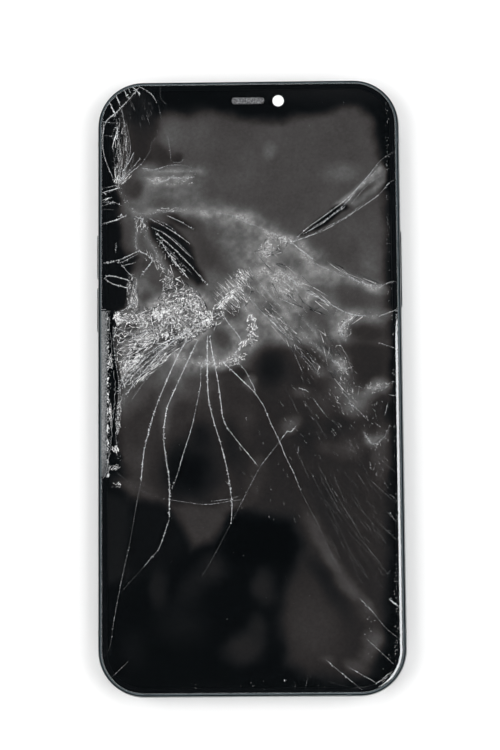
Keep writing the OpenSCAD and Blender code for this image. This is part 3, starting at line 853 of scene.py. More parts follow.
CRACKS: tuple[Crack, ...] = (
    # long cracks that fan out below the blow
    vein((-14.6, 10.4), (-16.8, 6.5), (-19.7, 0), (-22, -5.8), (-23.5, -11), (-24.5, -15), (-25.3, -22.3)),
    hair(
        (-24.9, -19), (-25.3, -22.3), (-26.5, -28.5), (-28, -37), (-29.4, -43), (-31, -51), (-31.7, -55),
        (-32.5, -60), (-34, -62.3),
    ),
    vein(
        (-12, 10.4), (-14.6, 5), (-17.8, -2), (-19.4, -6), (-20, -12), (-19.5, -17.3), (-18.8, -22.3),
        (-18.8, -31),
    ),
    fine((-18.8, -31), (-21, -37.3), (-23.3, -40.2), (-25.2, -42.5)),
    ghost((-25.2, -42.5), (-29.7, -47.3)),
    fine(
        (-10.2, 6), (-11.3, 4), (-11.5, -0.3), (-12.8, -6.7), (-14, -11.4), (-15.5, -16), (-17, -21),
        (-18.2, -24.2),
    ),
    vein(
        (-9.8, 11.4), (-9.9, 4.4), (-9.7, -2.4), (-8.8, -7.3), (-7, -13.4), (-5.7, -18.5), (-4.8, -23.6),
        (-4.4, -28), (-4.6, -32),
    ),
    vein((-9.2, 11), (-8.8, 8), (-8, 4), (-7, -2.4), (-6.4, -7.5), (-5.3, -10.2)),
    fine((-5.3, -10.2), (-2.2, -14.2), (1.7, -19)),
    vein((-6, 5), (-4, 3), (-2, 1), (1.2, -2)),
    fine(
        (-9.3, 15.6), (-6.8, 16.6), (-4.9, 14.2), (-2, 9.9), (-3.6, 6.4), (-1.3, 3.4), (0.5, 0), (1.3, -2),
    ),
    fine((1.2, -2.2), (3, -5), (4.8, -9.3), (6.7, -13.4), (8.2, -17.2), (10, -21), (11.4, -24.6)),
    ghost(
        (10.4, -22), (11.4, -24.6), (13.9, -29.7), (15, -31.8), (18.4, -39.6), (21.3, -45), (24.7, -49.5),
    ),
    fine((24.6, -49.4), (26.4, -51.2), (28.2, -53.2)),
    hair((28, -53), (30.4, -56), (33.6, -58.7)),
    fine((10.6, -9.7), (9.3, -11.2), (8.5, -11), (6.7, -13.4)),
    hair((6.7, -13.4), (2.9, -18.2), (1.7, -20), (-2, -27), (-4.6, -32)),
    ghost((-4.6, -32), (-8.7, -39.7), (-11.6, -44.5)),
    ghost((-31, -20), (-26.9, -23.4), (-23, -25.4), (-19.6, -26.3)),
    hair((-20, -26.3), (-16, -27), (-10.3, -27.7), (-4.8, -27), (-2.2, -26.7)),
    hair((-9, -27), (-5, -26.5), (-2.5, -25.8)),
    # ring round the blow
    seam((-18, 8.4), (-14.6, 5.9), (-11.4, 4.6), (-8.5, 4.3), (-6, 5), (-3.6, 6.4), (-2, 9.9)),
    dense((-13.8, 12.8), (-19.2, 8.9), (-24.4, 3.3), (-28.7, -2.2)),
    seam((-28.7, -2.2), (-30.6, -6.5), (-31, -11.5), (-30.5, -17)),
    fine((-31.7, 14), (-31.6, 10), (-31, 5), (-30.4, 1), (-30.4, -3), (-31.2, -8)),
    fine((-30.8, 9.4), (-26, 11.4), (-22, 13.4), (-17, 14.8)),
    fine((-31.4, 13.4), (-28.4, 12.4), (-25, 10.8), (-21, 9.4)),
    fine((-31.2, 17), (-28.6, 17.8), (-26, 19.4)),
    fine((-29.8, -0.6), (-25, 4.2), (-20, 8.4), (-14.4, 12.6), (-10.6, 14.6)),
    fine((-28.8, 1.4), (-24.6, 5.8), (-19, 10), (-13, 13.6)),
    hair((-27.4, -3.4), (-23.4, 2), (-18, 6.8), (-12.4, 12)),
    hair((-30, 7), (-25.4, 9.4), (-20, 12.4), (-14, 14.8)),
    dense((-18.4, 10.5), (-23.3, 7.6), (-27.4, 4.8), (-29.5, 1.3), (-30.2, -2.2)),
    seam((-2.1, 22.2), (-1, 18), (0.5, 15), (1.2, 11.5), (0.5, 8.8)),
    # upper left corner
    seam((-30.2, 46.4), (-30, 52.5), (-30.7, 59.6), (-31, 63)),
    ghost((-20.6, 71), (-20.4, 67.6), (-19, 66)),
    hair((-21, 66), (-20.4, 63), (-19.8, 61)),
    spike((-30.7, 61), (-30.6, 58)),
    hair((-30, 48), (-28.4, 52), (-27.6, 56), (-28.6, 62)),
    hair((-29.8, 48), (-27.4, 51.6), (-26.6, 55)),
    seam((-29.2, 47), (-28.4, 53), (-28.8, 60), (-29.8, 66)),
    seam((-31, 48), (-31.4, 54), (-31.8, 60)),
    spike((-31.8, 56.2), (-30.8, 59.6)),
    spike((-32.6, 67), (-31, 63.4)),
    vein((-25.6, 70.2), (-27.7, 67.6), (-30.7, 64.5), (-33.4, 61.9), (-34.2, 58)),
    spike((-31, 68.6), (-30, 65.9)),
    spike((-29, 69.8), (-28.3, 67.8)),
    spike((-27.2, 70.4), (-25.4, 68.8)),
    fine((-28.2, 70.2), (-27.4, 68.6)),
    fine((-25.6, 70.5), (-22.7, 68.6), (-21.4, 66.6)),
    fine((-30.2, 46.4), (-31.3, 47.8), (-33.7, 53.8), (-34.1, 58), (-33.9, 62)),
    hair((-34.1, 62.2), (-32, 61.8), (-31, 61.8)),
    hair((-34.1, 58.8), (-32, 58.7), (-31, 58.8)),
    fine((-30, 48), (-27.5, 50), (-25, 52), (-24.2, 53)),
    ghost((-24.4, 52.8), (-23, 55), (-22.6, 57), (-21, 58.6)),
    fine((-29.6, 48.6), (-27.2, 51), (-25.4, 53.2)),
    fine((-29.6, 50), (-27.8, 52.6), (-26.8, 54.8)),
    hair((-19, 59.4), (-18.6, 57), (-18.2, 54.4), (-18.2, 52.4)),
    hair((-17.6, 52.2), (-15.6, 52.4), (-14.6, 54.5)),
    hair((-25, 51), (-22, 50.6), (-19, 51.4), (-16.4, 51.6), (-12.4, 50.8)),
    # upper left margin
    spike((-30.2, 46.4), (-32, 45.8), (-34.2, 45.2)),
    fine((-30.6, 46.9), (-32.4, 46.6), (-34.2, 46.2)),
    spike((-32, 44.1), (-34.2, 43.4)),
    fine((-31, 42.9), (-34.2, 43)),
    fine((-29.6, 42.2), (-31.6, 42.8), (-34.2, 42.1)),
    hair((-31.5, 41.2), (-34.2, 41.2)),
    vein((-28.6, 39.8), (-31, 38.7), (-34.2, 37.8)),
    spike((-29.4, 39.7), (-30.6, 39.5)),
    seam((-30.2, 46.4), (-29.4, 44), (-28.4, 42.3), (-27, 40.8)),
    # arc across the upper left
    seam((-27, 40.8), (-24.9, 40), (-20.7, 40.3)),
    veil((-20.7, 40.3), (-15.3, 41), (-11.2, 40.5), (-8, 40.3)),
    veil((-8, 40.3), (-2, 39), (1.5, 37.2), (5.7, 34.9), (9.5, 33.3)),
    seam((-24, 48.6), (-21, 47.6), (-18, 48.6), (-15, 48.4), (-12.5, 48.8)),
    veil((-25, 50.5), (-20, 50.2), (-14, 50), (-11, 50.4)),
    dense((-26.6, 39.6), (-24.8, 38.6), (-24.6, 36.6)),
    # upper right ridges
    seam((9.5, 33.3), (12, 31), (14.7, 28.6)),
    veil((14.7, 28.2), (20.9, 25.4), (27.3, 22.9)),
    seam((24, 24), (27.3, 22.9), (30.3, 22.2)),
    fine((30.3, 22.3), (32.5, 23.4), (34.2, 23.6)),
    veil((6.8, 26.6), (12.8, 22.4), (17.7, 19.2), (21.8, 16.4)),
    seam((21.8, 16.4), (25, 15.8), (29.9, 15.4)),
    fine((29.9, 15.5), (32, 16.2), (34.2, 17)),
    seam((25, 15.8), (22.4, 14), (21, 11.9), (22.2, 9.7)),
    seam((2.6, 29), (3.6, 31.2), (4.6, 32.6)),
    veil((-2, 22.2), (4, 15.5), (9.3, 10), (12.6, 5.4), (16, 1.9)),
    veil((10, 13.8), (14.3, 9.7), (18, 6.5), (22.6, 2.7)),
    veil((4, 27), (8, 21), (12, 15.5), (16, 11)),
    veil((0, 27), (4.5, 21), (9, 15.5)),
    hair((10, 8), (11.3, 4.6), (12.3, 2.2)),
    hair((13.5, 7), (15.6, 3.2)),
    seam((18.5, 6), (20.5, 4), (22.6, 2.6)),
    fine((22.7, -4.5), (24.6, -6), (26.6, -8.2)),
    hair((14.2, -3), (17.8, -8)),
    seam((26, -11.3), (28.5, -14.3), (31.3, -12), (32, -9.5)),
    fine((31.7, -4.8), (31, -7.6)),
    fine((30, 9.3), (34.1, 7.8)),
    seam((27.5, -1.3), (30.9, -1.3), (32.5, 0), (34.1, 0.2)),
    fine((32, -2.7), (34, -3.2)),
    hair((-3, 38.6), (2, 36.8), (5.4, 35.2), (8.4, 34)),
    fine((9.8, 33), (12.4, 31), (14.8, 29)),
    fine((22, 25.6), (24.6, 24.2), (27.3, 23), (30.6, 22.8)),
    fine((13, 21.4), (15.6, 20.2), (18.4, 18.6), (22, 16.6)),
    fine((22, 16.6), (24.4, 15.8), (27, 15.6)),
    fine((23.4, 15.6), (21.4, 13.4), (21.4, 11.6), (22.2, 10.2)),
    fine((4, 15.8), (7, 12.6), (9.6, 10)),
    hair((10.6, 9), (13, 6), (16, 2.4)),
    hair((17.6, 7.4), (20.4, 4.6), (21.2, 2.6), (20.8, -1), (22.8, -4)),
    hair((7.8, 21.4), (8.6, 19.4), (10, 17.8)),
    hair((7.6, 26.2), (9.6, 24.6), (11.6, 22.8)),
    hair((26, -11.3), (28.4, -14), (31, -12.2), (32.2, -9.4)),
    fine((11.2, -1), (12.4, -1.4), (13.6, -2)),
    hair((10.4, -9.6), (9.4, -8.6), (9, -10.6)),
    # feather of splits in the upper right
    fine((10, 33.1), (11.4, 34.3), (13.8, 36.5), (17.6, 39.2), (22.9, 43.2), (26.6, 47), (30, 51)),
    hair((29, 50), (31.2, 52.4), (34.2, 54.3)),
    fine((12.8, 35), (15.8, 37), (19, 39), (22.5, 42), (25.5, 45.4), (29.6, 49.6)),
    fine((14, 35.7), (17, 37.4), (20.4, 39.9), (22.5, 41.3)),
    fine((10, 33.1), (12.9, 34.1), (18.9, 36.5), (26.5, 41.3), (30.3, 44), (32.7, 46.7), (34.2, 47.6)),
    hair((16, 35.5), (22, 38.6), (27, 42.2)),
    hair((23.8, 41.8), (27.3, 45.9), (31, 48.6)),
    hair((22.4, 41.4), (25.2, 44.4), (28, 48)),
    hair((12.8, 37.4), (14.2, 38.8)),
    # fan of straight splits over black
    fine((-23.2, 39), (-17.9, 36), (-13.7, 32.9)),
    fine((-22.8, 37), (-19, 34.9), (-13.4, 29.7)),
    vein((-21.9, 35.8), (-17.9, 32.2), (-14.2, 28.4), (-9.8, 23.3)),
    dense((-20.9, 34), (-18.7, 30.6), (-15.3, 26.2), (-14.2, 24.9)),
    fine((-19, 39.6), (-16, 38.2), (-13, 36.4)),
    seam((-24.9, 36.5), (-22.2, 31.9), (-20.9, 29.2), (-18.5, 25.6)),
    seam((-26.3, 37.5), (-26.3, 32.8), (-25.6, 31.4)),
    hair((-18, 34.6), (-14.6, 31.4)),
    hair((-20.8, 36.4), (-16.4, 33), (-12.8, 29.2)),
    hair((-21.4, 34.4), (-17.4, 30), (-13.2, 25.8)),
    hair((-22, 38.8), (-18.6, 37.2), (-15.4, 34.4)),
    hair((-19.6, 32.6), (-16.4, 29.2)),
    # facets at the left margin
    vein((-25.6, 31.4), (-29, 29.8), (-31.3, 29), (-33.6, 28.6)),
    vein((-25.6, 31.4), (-22.6, 29.5), (-23.8, 27.3), (-25.4, 25.2)),
    fine((-26, 30.6), (-29, 29), (-30.6, 28.6)),
    fine((-24.6, 30), (-23.4, 28.8)),
    fine((-30, 28.5), (-27.9, 26), (-27, 25.4)),
    fine((-29, 28), (-26.6, 28.6)),
    vein((-33.8, 25), (-32.6, 25.6), (-30.5, 25.2), (-27.9, 24.4)),
    vein((-33.8, 25), (-31.6, 23.6), (-28.7, 22.8), (-27.7, 22.8)),
    seam((-27.4, 26), (-26.4, 23), (-26.6, 20)),
    seam((-28.2, 24), (-27.8, 21), (-28, 18.4)),
    fine((-26, 19.5), (-28, 18.4), (-30, 17)),
    fine((-31, 33.4), (-31.1, 31)),
    # marks along the lower border
    ghost((9.6, -70), (9.9, -68.2)),
    ghost((12, -69.8), (12.7, -66.8)),
    ghost((17.4, -68.2), (21.6, -69.4)),
    ghost((22.4, -69.8), (26.4, -69.4)),
    spike((7.3, -67.8), (7.8, -67.8)),
    # faint scratches, lower right
    ghost((13.5, -20.2), (19, -30.9), (23.2, -40)),
    ghost((20.8, -27.7), (25.9, -36.5)),
    ghost((27.2, -30.3), (33.6, -36.5)),
    ghost((16, -22), (22, -32), (30, -42)),
    ghost((15.6, -19), (20, -28)),
    ghost((19, -21), (23.8, -33)),
    ghost((27, -22), (33.6, -28)),
    ghost((25, -29), (31, -36)),
    ghost((26, -33), (30.8, -38.4)),
    ghost((28.6, -33), (31.2, -37.8)),
    ghost((22, -34), (31.4, -44)),
    ghost((24, -20), (27.6, -26)),
    ghost((29, -17), (33.6, -21)),
    ghost((10, -14), (13.4, -22)),
    ghost((12.6, -4), (17.6, -13)),
    ghost((19, -8), (24, -16)),
    ghost((7.6, 0), (12, -8.6)),
    fine((32, -30), (32.8, -31.8)),
    hair((31, -29.6), (32.6, -31.2), (34, -32.6)),
    hair((31.8, -25.6), (33.8, -27.4)),
    hair((30.8, -34), (32.2, -34.2)),
    hair((31, -44), (31.8, -43)),
    fine((16.8, -63.3), (20, -66), (24.8, -70)),
    fine((22, -65), (28.3, -68.6)),
    hair((26, -58.5), (32.4, -64.5)),
    spike((31.6, -49.8), (33.7, -51.5)),
    hair((-28.2, -63.3), (-32.2, -67)),
    fine((11, -14.4), (11, -16)),
    fine((-1, -7.8), (-0.9, -8.6)),
)


@dataclass(frozen=True)
class Cloud:
    """A patch where the display's layers have parted, or a dark one where they hold.

    Attributes:
        level: Display level in the patch, from 0 black to 255 white.
        soft: Width of its soft edge.
        outline: Corners of the patch.
    """

    level: float
    soft: float
    outline: Route

    def weight(self, x: np.ndarray, y: np.ndarray) -> np.ndarray:
        """Share of the patch at each place."""
        inside = np.zeros(x.shape, bool)
        away = np.full(x.shape, 1e9)
        for (ax, ay), (bx, by) in zip(self.outline, (*self.outline[1:], self.outline[0])):
            away = np.minimum(away, span_distance(x, y, (ax, ay), (bx, by)))
            if ay != by:
                crosses = (ay > y) != (by > y)
                inside ^= crosses & (x < (bx - ax) * (y - ay) / (by - ay) + ax)
        signed = np.where(inside, away, -away)
        return ramp(signed / (2 * self.soft) + 0.5)


@dataclass(frozen=True)
class Blob:
    """An oval patch.

    Attributes:
        level: Display level in the patch.
        centre: Its middle.
        radii: Its half axes.
        turn: Its turn in degrees.
        soft: Share of its radius that is soft.
    """

    level: float
    centre: Point
    radii: Point
    turn: float = 0.0
    soft: float = 0.9

    def weight(self, x: np.ndarray, y: np.ndarray) -> np.ndarray:
        """Share of the patch at each place."""
        c, s = math.cos(math.radians(self.turn)), math.sin(math.radians(self.turn))
        dx, dy = x - self.centre[0], y - self.centre[1]
        out = np.hypot((dx * c + dy * s) / self.radii[0], (dy * c - dx * s) / self.radii[1])
        return ramp((1 + self.soft - out) / (2 * self.soft))


def ramp(t: np.ndarray) -> np.ndarray:
    """Smooth rise from 0 to 1."""
    t = np.clip(t, 0, 1)
    return t * t * (3 - 2 * t)


def span_distance(x: np.ndarray, y: np.ndarray, a: Point, b: Point) -> np.ndarray:
    """Distance of places from a straight span.

    Args:
        x: Places across.
        y: Places along.
        a: Start of the span.
        b: End of the span.

    Returns:
        The distances.
    """
    dx, dy = b[0] - a[0], b[1] - a[1]
    t = np.clip(((x - a[0]) * dx + (y - a[1]) * dy) / (dx * dx + dy * dy), 0, 1)
    return np.hypot(x - a[0] - t * dx, y - a[1] - t * dy)


def mottle(x: np.ndarray, y: np.ndarray, pitch: float, seed: int) -> np.ndarray:
    """Smooth random field from -1 to 1.

    Args:
        x: Places across.
        y: Places along.
        pitch: Size of a feature.
        seed: Seed of the field.

    Returns:
        The field at each place.
    """
    cells = np.random.default_rng(seed).uniform(-1, 1, (FIELD, FIELD))
    u, v = x / pitch + FIELD_START, y / pitch + FIELD_START
    i, j = np.floor(u).astype(int), np.floor(v).astype(int)
    s, t = ramp(u - i), ramp(v - j)
    i, j, right, up = i % FIELD, j % FIELD, (i + 1) % FIELD, (j + 1) % FIELD
    low = cells[i, j] * (1 - s) + cells[right, j] * s
    high = cells[i, up] * (1 - s) + cells[right, up] * s
    return low * (1 - t) + high * t


CLOUDS: tuple[Cloud | Blob, ...] = (
    # haze that lies under everything below the middle
    Cloud(13.5, 3, (
        (-29, -24), (-18, -26), (-6, -28), (9, -30), (12, -40), (9, -66), (-4, -66), (-12, -64), (-16, -58),
        (-24, -52), (-28, -40),
    )),
    # wide fields
    Cloud(69, 1.9, (
        (-24, 62), (-20, 64), (-17, 64), (-13, 63), (-8, 64), (-2, 62.6), (8, 62), (14, 63.4), (18, 64),
        (22, 66), (26, 65.5), (28.6, 62), (30.6, 56), (31.2, 50), (31.8, 36), (32, 10), (32, -4), (12, 4),
        (-6, 4), (-31, 4), (-31, 18), (-27, 22), (-26.5, 36), (-29, 42), (-30, 48), (-29, 56),
    )),
    Cloud(38, 2, (
        (1, 3), (9, 8), (16, 9), (24, 9), (31.6, 10), (32, -4), (31.4, -40), (30.6, -52), (29, -60),
        (27, -67), (20, -68), (13, -67), (8, -64), (7.4, -57), (7.4, -50), (9.6, -43), (12, -37),
        (9.6, -31), (2, -30), (-6, -29), (-8, -22), (-5, -8),
    )),
    Cloud(46, 2, (
        (-30.5, 4), (-6, 4), (0, 0), (1, -8), (-2, -18), (-6, -28), (-12, -27), (-19, -27.4), (-28, -26),
        (-30, -16), (-30.6, -6),
    )),
    Blob(36, (-6, -16), (3.2, 8), 8, 0.7),
    Blob(92, (-18, 1.6), (5, 3.2), -20),
    Blob(66, (-12, 0), (3, 3.4)),
    Cloud(38, 1.8, ((-29, 68), (-24.5, 68), (-20.5, 62), (-21.5, 55), (-23.5, 50), (-29.5, 48))),
    Blob(24, (-26, 65), (4, 4), 0, 0.7),
    Blob(92, (5, 55), (1.1, 1.5)),
    Blob(86, (28, 29), (2.4, 3), 10),
    Blob(33, (18, -28), (2.4, 8), 25),
    Blob(88, (21, 49.6), (3.4, 1.8)),
    Blob(74, (-12, 58), (5, 5)),
    # bubbles in the upper left
    Blob(88, (-19.5, 45), (8.5, 4.2), 0, 0.35),
    Blob(118, (-19, 48.4), (6, 1.6), 0, 0.8),
    Blob(96, (-16, 46), (4, 2.5), 0, 0.8),
    Blob(100, (-24.5, 43.5), (2.4, 2.6), 20),
    Blob(52, (-27.6, 46.2), (2.5, 2.8), 0, 0.4),
    Blob(80, (-17, 50), (6, 1.6), 0, 0.6),
    Blob(44, (-20.6, 54), (2.6, 2.6), 10, 0.5),
    Blob(40, (-16.8, 53.8), (1.6, 1.6), 10, 0.5),
    Blob(80, (-17.6, 58.6), (2.2, 3.4), 10, 0.8),
    Blob(76, (-24.6, 50.4), (3, 1.6), 30, 0.8),
    Blob(70, (-20, 42.6), (3, 1.6), 0, 0.8),
    # between the arc and the blow
    Blob(104, (-3, 37), (9, 4), -15, 0.7),
    Blob(112, (-5, 39), (8, 1.6), -10),
    Blob(88, (-1, 34.6), (2.5, 2.3), 0, 0.7),
    Blob(72, (-8.5, 36), (3, 2.4), 0, 0.8),
    Blob(54, (-13, 38), (2.6, 2.4), 0, 0.7),
    Blob(60, (-7, 28), (3.6, 3.4), 0, 0.8),
    Blob(104, (0, 30), (5.4, 4), -30, 0.8),
    Blob(136, (4.4, 31.4), (3.4, 2.8), 30, 0.8),
    Blob(132, (8, 33.2), (4, 2), -20, 0.8),
    Blob(112, (6, 25), (7, 5), -35, 0.8),
    Blob(112, (12.5, 30.4), (5, 2.4), -32),
    Blob(72, (9.4, 28.6), (2, 1.4), -30, 0.8),
    Blob(106, (16, 25.4), (7, 2.4), -25),
    Blob(108, (28.6, 22.4), (2.6, 1.4), -10),
    Blob(64, (23.6, 20.4), (4.8, 2), -12, 0.5),
    Blob(114, (11, 20), (6, 3.4), -30, 0.8),
    Blob(70, (17, 21.6), (2.4, 1), -30, 0.8),
    Blob(116, (23, 15.4), (3.6, 1.6), 10),
    Blob(118, (20.8, 12.6), (1.8, 2.4)),
    Blob(108, (7, 15.6), (6, 2.6), -35),
    Blob(96, (13, 11.4), (3, 1.4), -30),
    Blob(88, (29.6, 15.6), (3.2, 1.2), 8),
    Blob(112, (-2, 13), (5, 7), 0, 0.8),
    Blob(108, (3, 12.6), (4, 3.6), 0, 0.8),
    Blob(70, (14.6, 15.2), (3.2, 2.4), -35, 0.6),
    Blob(66, (-3.4, 17.2), (2.2, 2.2), 0, 0.7),
    Blob(62, (-6.2, 11), (1.5, 2.4), 20, 0.7),
    Blob(86, (9.6, 13), (2.4, 2.4)),
    Blob(76, (5.6, 17.4), (1.8, 1.4), -30),
    # split feather
    Cloud(15, 0.5, (
        (11.6, 34.8), (15.6, 38), (19.6, 41), (22.8, 42.4), (23.4, 41.2), (20, 38.6), (16, 36.2),
    )),
    Cloud(96, 0.7, ((22, 42.8), (26.4, 47), (31, 51.4), (32.6, 50), (32.4, 47), (29, 43.8), (25, 41.4))),
    Cloud(118, 0.5, ((20, 41.8), (24, 45), (30.6, 51.2), (31.6, 50.4), (26.6, 45.6), (22.6, 42.6))),
    Blob(62, (27.4, 45.6), (2.8, 0.8), 38, 0.6),
    # facets and fan of the left margin
    Blob(64, (-28.4, 36), (1.8, 5), 8, 0.6),
    Cloud(17, 0.8, (
        (-36, 45.5), (-32, 45.5), (-31, 42), (-30.2, 38.5), (-29.8, 33), (-29, 29), (-29, 25),
        (-28.4, 21.6), (-29.4, 18.2), (-36, 17),
    )),
    Blob(64, (-25.2, 34), (1.6, 4.4), 8, 0.7),
    Blob(98, (-24.4, 21.4), (3, 4), 0, 0.8),
    Blob(62, (-23.6, 20.4), (1.4, 1.2), 30, 0.8),
    Blob(70, (-21.4, 24.6), (2.2, 1.6), 0, 0.7),
    Blob(84, (-8.4, 24), (2.6, 3)),
    Blob(82, (-28.2, 40.4), (1.8, 1.8)),
    Blob(24, (-27.6, 29.4), (1.8, 0.8), 20, 0.5),
    Cloud(22, 1, (
        (-23.4, 38.2), (-18.4, 37.4), (-14.4, 33.8), (-12.6, 29.6), (-10.2, 24.2), (-12.4, 23.4),
        (-15.8, 25.4), (-19.4, 29), (-22.2, 33.4),
    )),
    Blob(60, (-11.6, 34), (1.6, 4.6), 25),
    Blob(30, (-16.4, 38.4), (3.4, 1.2), -25, 0.8),
    Blob(54, (-24.4, 28), (1.2, 1.2), 0, 0.6),
    # crushed patch
    Cloud(140, 1.6, (
        (-30, 17), (-25, 16.6), (-20.8, 20.5), (-16, 22.6), (-11, 21.4), (-8.4, 18), (-8.8, 13),
        (-12, 9.6), (-18, 6.6), (-24, 2.6), (-29, -1), (-30.4, 6),
    )),
    Blob(152, (-16, 16.4), (6, 4.4), 20, 0.8),
    Blob(168, (-20.4, 17.6), (3, 2.4)),
    Blob(144, (-24.6, 14.4), (3.4, 2.4)),
    Blob(62, (-27.6, 14), (1.6, 1.6), 0, 0.7),
    Blob(66, (-26.4, 6.4), (3, 2.4), 20, 0.8),
    Blob(84, (-21, 8.4), (3.4, 1.4), 35, 0.8),
    Blob(66, (-18, 11.4), (2, 1), 30, 0.8),
    Blob(118, (-4, 21.8), (2.4, 4.4), -38, 0.7),
    Blob(108, (-7.6, 16.4), (2.2, 2), 0, 0.8),
    Blob(80, (-14, 7.4), (3.4, 1.2), 20),
    Blob(136, (-15.6, 5.4), (4.4, 2.2), -20),
    Blob(112, (-12, 8), (3, 2.4)),
    Blob(104, (-20, 4), (2.4, 2), 40),
    Blob(116, (-9, 5.6), (4.4, 2)),
    Blob(118, (-4.4, 6), (3, 1.8), 15),
    Blob(78, (-22, 2.4), (4, 1.6), 48),
    Blob(66, (-26.4, -2.4), (2.6, 4.4), -40),
    # right of the blow
    Cloud(36, 2.4, ((-0.6, 5.4), (2, 8), (7, 8.6), (9.6, 7), (10, 1.6), (6, -0.6), (2, 0), (0, 3))),
    Blob(22, (4.9, 3.6), (2.2, 3.2)),
    Cloud(34, 1.3, ((10.6, 8.4), (13, 7), (16.4, 1.4), (14.6, 0), (11.6, 4.4))),
    Blob(70, (17.6, 8), (3, 1.6), -35),
    Blob(92, (21, 3.8), (1.8, 2.6)),
    Blob(64, (17.4, 3), (2, 1.4), -30),
    Blob(40, (27, 6), (4, 2.6), 0, 0.5),
    Blob(44, (27.4, 11.6), (4, 2), 0, 0.5),
    Blob(54, (30.6, 9.4), (2, 1)),
    Blob(78, (21.6, -1.6), (3, 3.4), 20),
    Blob(94, (24.4, -4.6), (2.2, 2.6), 30),
    Blob(84, (27.4, -2.4), (3.4, 1.4), 30),
    Blob(92, (30.6, -0.4), (1.8, 1.6)),
    Blob(66, (12, -1.6), (1.8, 1.2), -10),
    Blob(52, (16.6, -5), (3, 2), -40),
    Blob(64, (8.6, -9.6), (2.2, 1.6), 35),
    Blob(84, (28.4, -13.6), (2.2, 1.2)),
    Blob(58, (30, -17), (1.6, 5)),
    Blob(54, (22, -15), (3, 2.2)),
    Blob(52, (16.6, -14.6), (2, 1.2), -30),
    Blob(32, (20, -10), (2.6, 2.2)),
    Blob(42, (-3, -2), (3, 4)),
    Blob(30, (-4, -14), (2.4, 5), 10),
    Blob(32, (13, -12), (3, 4)),
    Blob(58, (1.6, -19), (1.8, 1.8)),
    Blob(58, (-19.6, -2), (1.6, 4), -15),
    # dark windows below
    Blob(27, (-14.6, -19.6), (6.4, 7), 15, 0.7),
    Blob(13, (-14.2, -20.4), (4.2, 5.2), 15),
    Blob(24, (-11.4, -12), (2.4, 3)),
    Blob(54, (-26.6, -17), (1.6, 3.2), 20),
    Blob(52, (-27, -23.4), (4, 1.4), -15),
    Cloud(52, 1.8, (
        (-18, -27.4), (-10, -27.8), (-5, -27.4), (-6, -31), (-9.4, -36), (-13.6, -37.4), (-16.6, -32),
    )),
    Blob(48, (-3, -27.6), (3.6, 1.2), 10),
    Blob(50, (1, -23), (2, 3.4), -30),
    Cloud(11, 1.5, (
        (-5.4, -31.4), (0, -31), (8, -31.4), (9.6, -36), (8, -40), (3, -42), (-4, -41), (-7, -37.6),
    )),
    Cloud(18, 2, ((-31, -28), (-20, -27.6), (-17, -33), (-15, -38), (-18, -42), (-24, -44), (-31, -46))),
    Cloud(25, 1.4, ((-34, -24), (-28, -27), (-28.6, -44), (-34, -46))),
    Blob(24, (20, 69.4), (16, 3)),
    Blob(24, (-13, -46), (2.4, 6), -35),
    Blob(30, (-8.4, -42.6), (2.4, 2.6)),
    Blob(27, (-21, -47), (2, 4.4), 0, 0.6),
    Blob(32, (3, -46.6), (2.6, 3.8), 10, 0.7),
    Blob(22, (-16, -55), (5, 4)),
    Blob(34, (-1.6, -60.4), (5, 3.6), 15, 0.5),
    Blob(30, (1.6, -56), (2.2, 3), 0, 0.7),
    Blob(20, (-27, -60.6), (2.6, 3.4)),
    Blob(60, (14.4, -33.6), (1.3, 4), 25),
    Blob(68, (18, -40.6), (1.3, 5), 28),
    Blob(64, (22.6, -47.2), (1.6, 4), 40),
    Blob(26, (17.6, -47), (1.9, 7), 33, 0.7),
    Blob(50, (13.6, -55.4), (6, 8), 8, 0.7),
    Blob(74, (28, -59.4), (2, 2.6)),
    Blob(62, (26, -62.6), (1.8, 1.8)),
    Blob(50, (26.4, -53), (1.4, 2.4), 40),
    Blob(72, (26.6, -51), (0.9, 1.8), 35),
    Blob(60, (23.6, -64.8), (2.4, 1.2), -30),
    Blob(58, (17.6, -63.4), (1.6, 1), -30),
    Blob(90, (0.4, 0.6), (1.2, 1.6), 30),
    Blob(74, (9.6, -9.8), (1.8, 1.4), 35),
    Blob(72, (-19.4, -6), (1.3, 4), -10),
    # gap along the broken left edge
    Cloud(12, 0.5, (
        (-34.6, 17.6), (-31.8, 17), (-31.5, 12), (-31.2, 8), (-30.8, 5), (-30.2, 3), (-30.1, 0),
        (-30.6, -3), (-31.4, -6), (-31.7, -10), (-31.8, -13), (-30.6, -15.4), (-29.4, -17), (-30.4, -19),
        (-34.6, -21.4),
    )),
)


@dataclass(frozen=True)
class Frost:
    """An oval patch of short splinters.

    Attributes:
        centre: Its middle.
        radii: Its half axes.
        turn: Its turn in degrees.
        count: Number of splinters.
        grain: Direction that splinters favour, in degrees.
        scatter: How far they stray from it, in degrees.
        length: Shortest and longest splinter.
        width: Thinnest and widest splinter.
        glint: Faintest and brightest splinter.
    """

    centre: Point
    radii: Point
    turn: float
    count: int
    grain: float
    scatter: float
    length: Point
    width: Point
    glint: Point


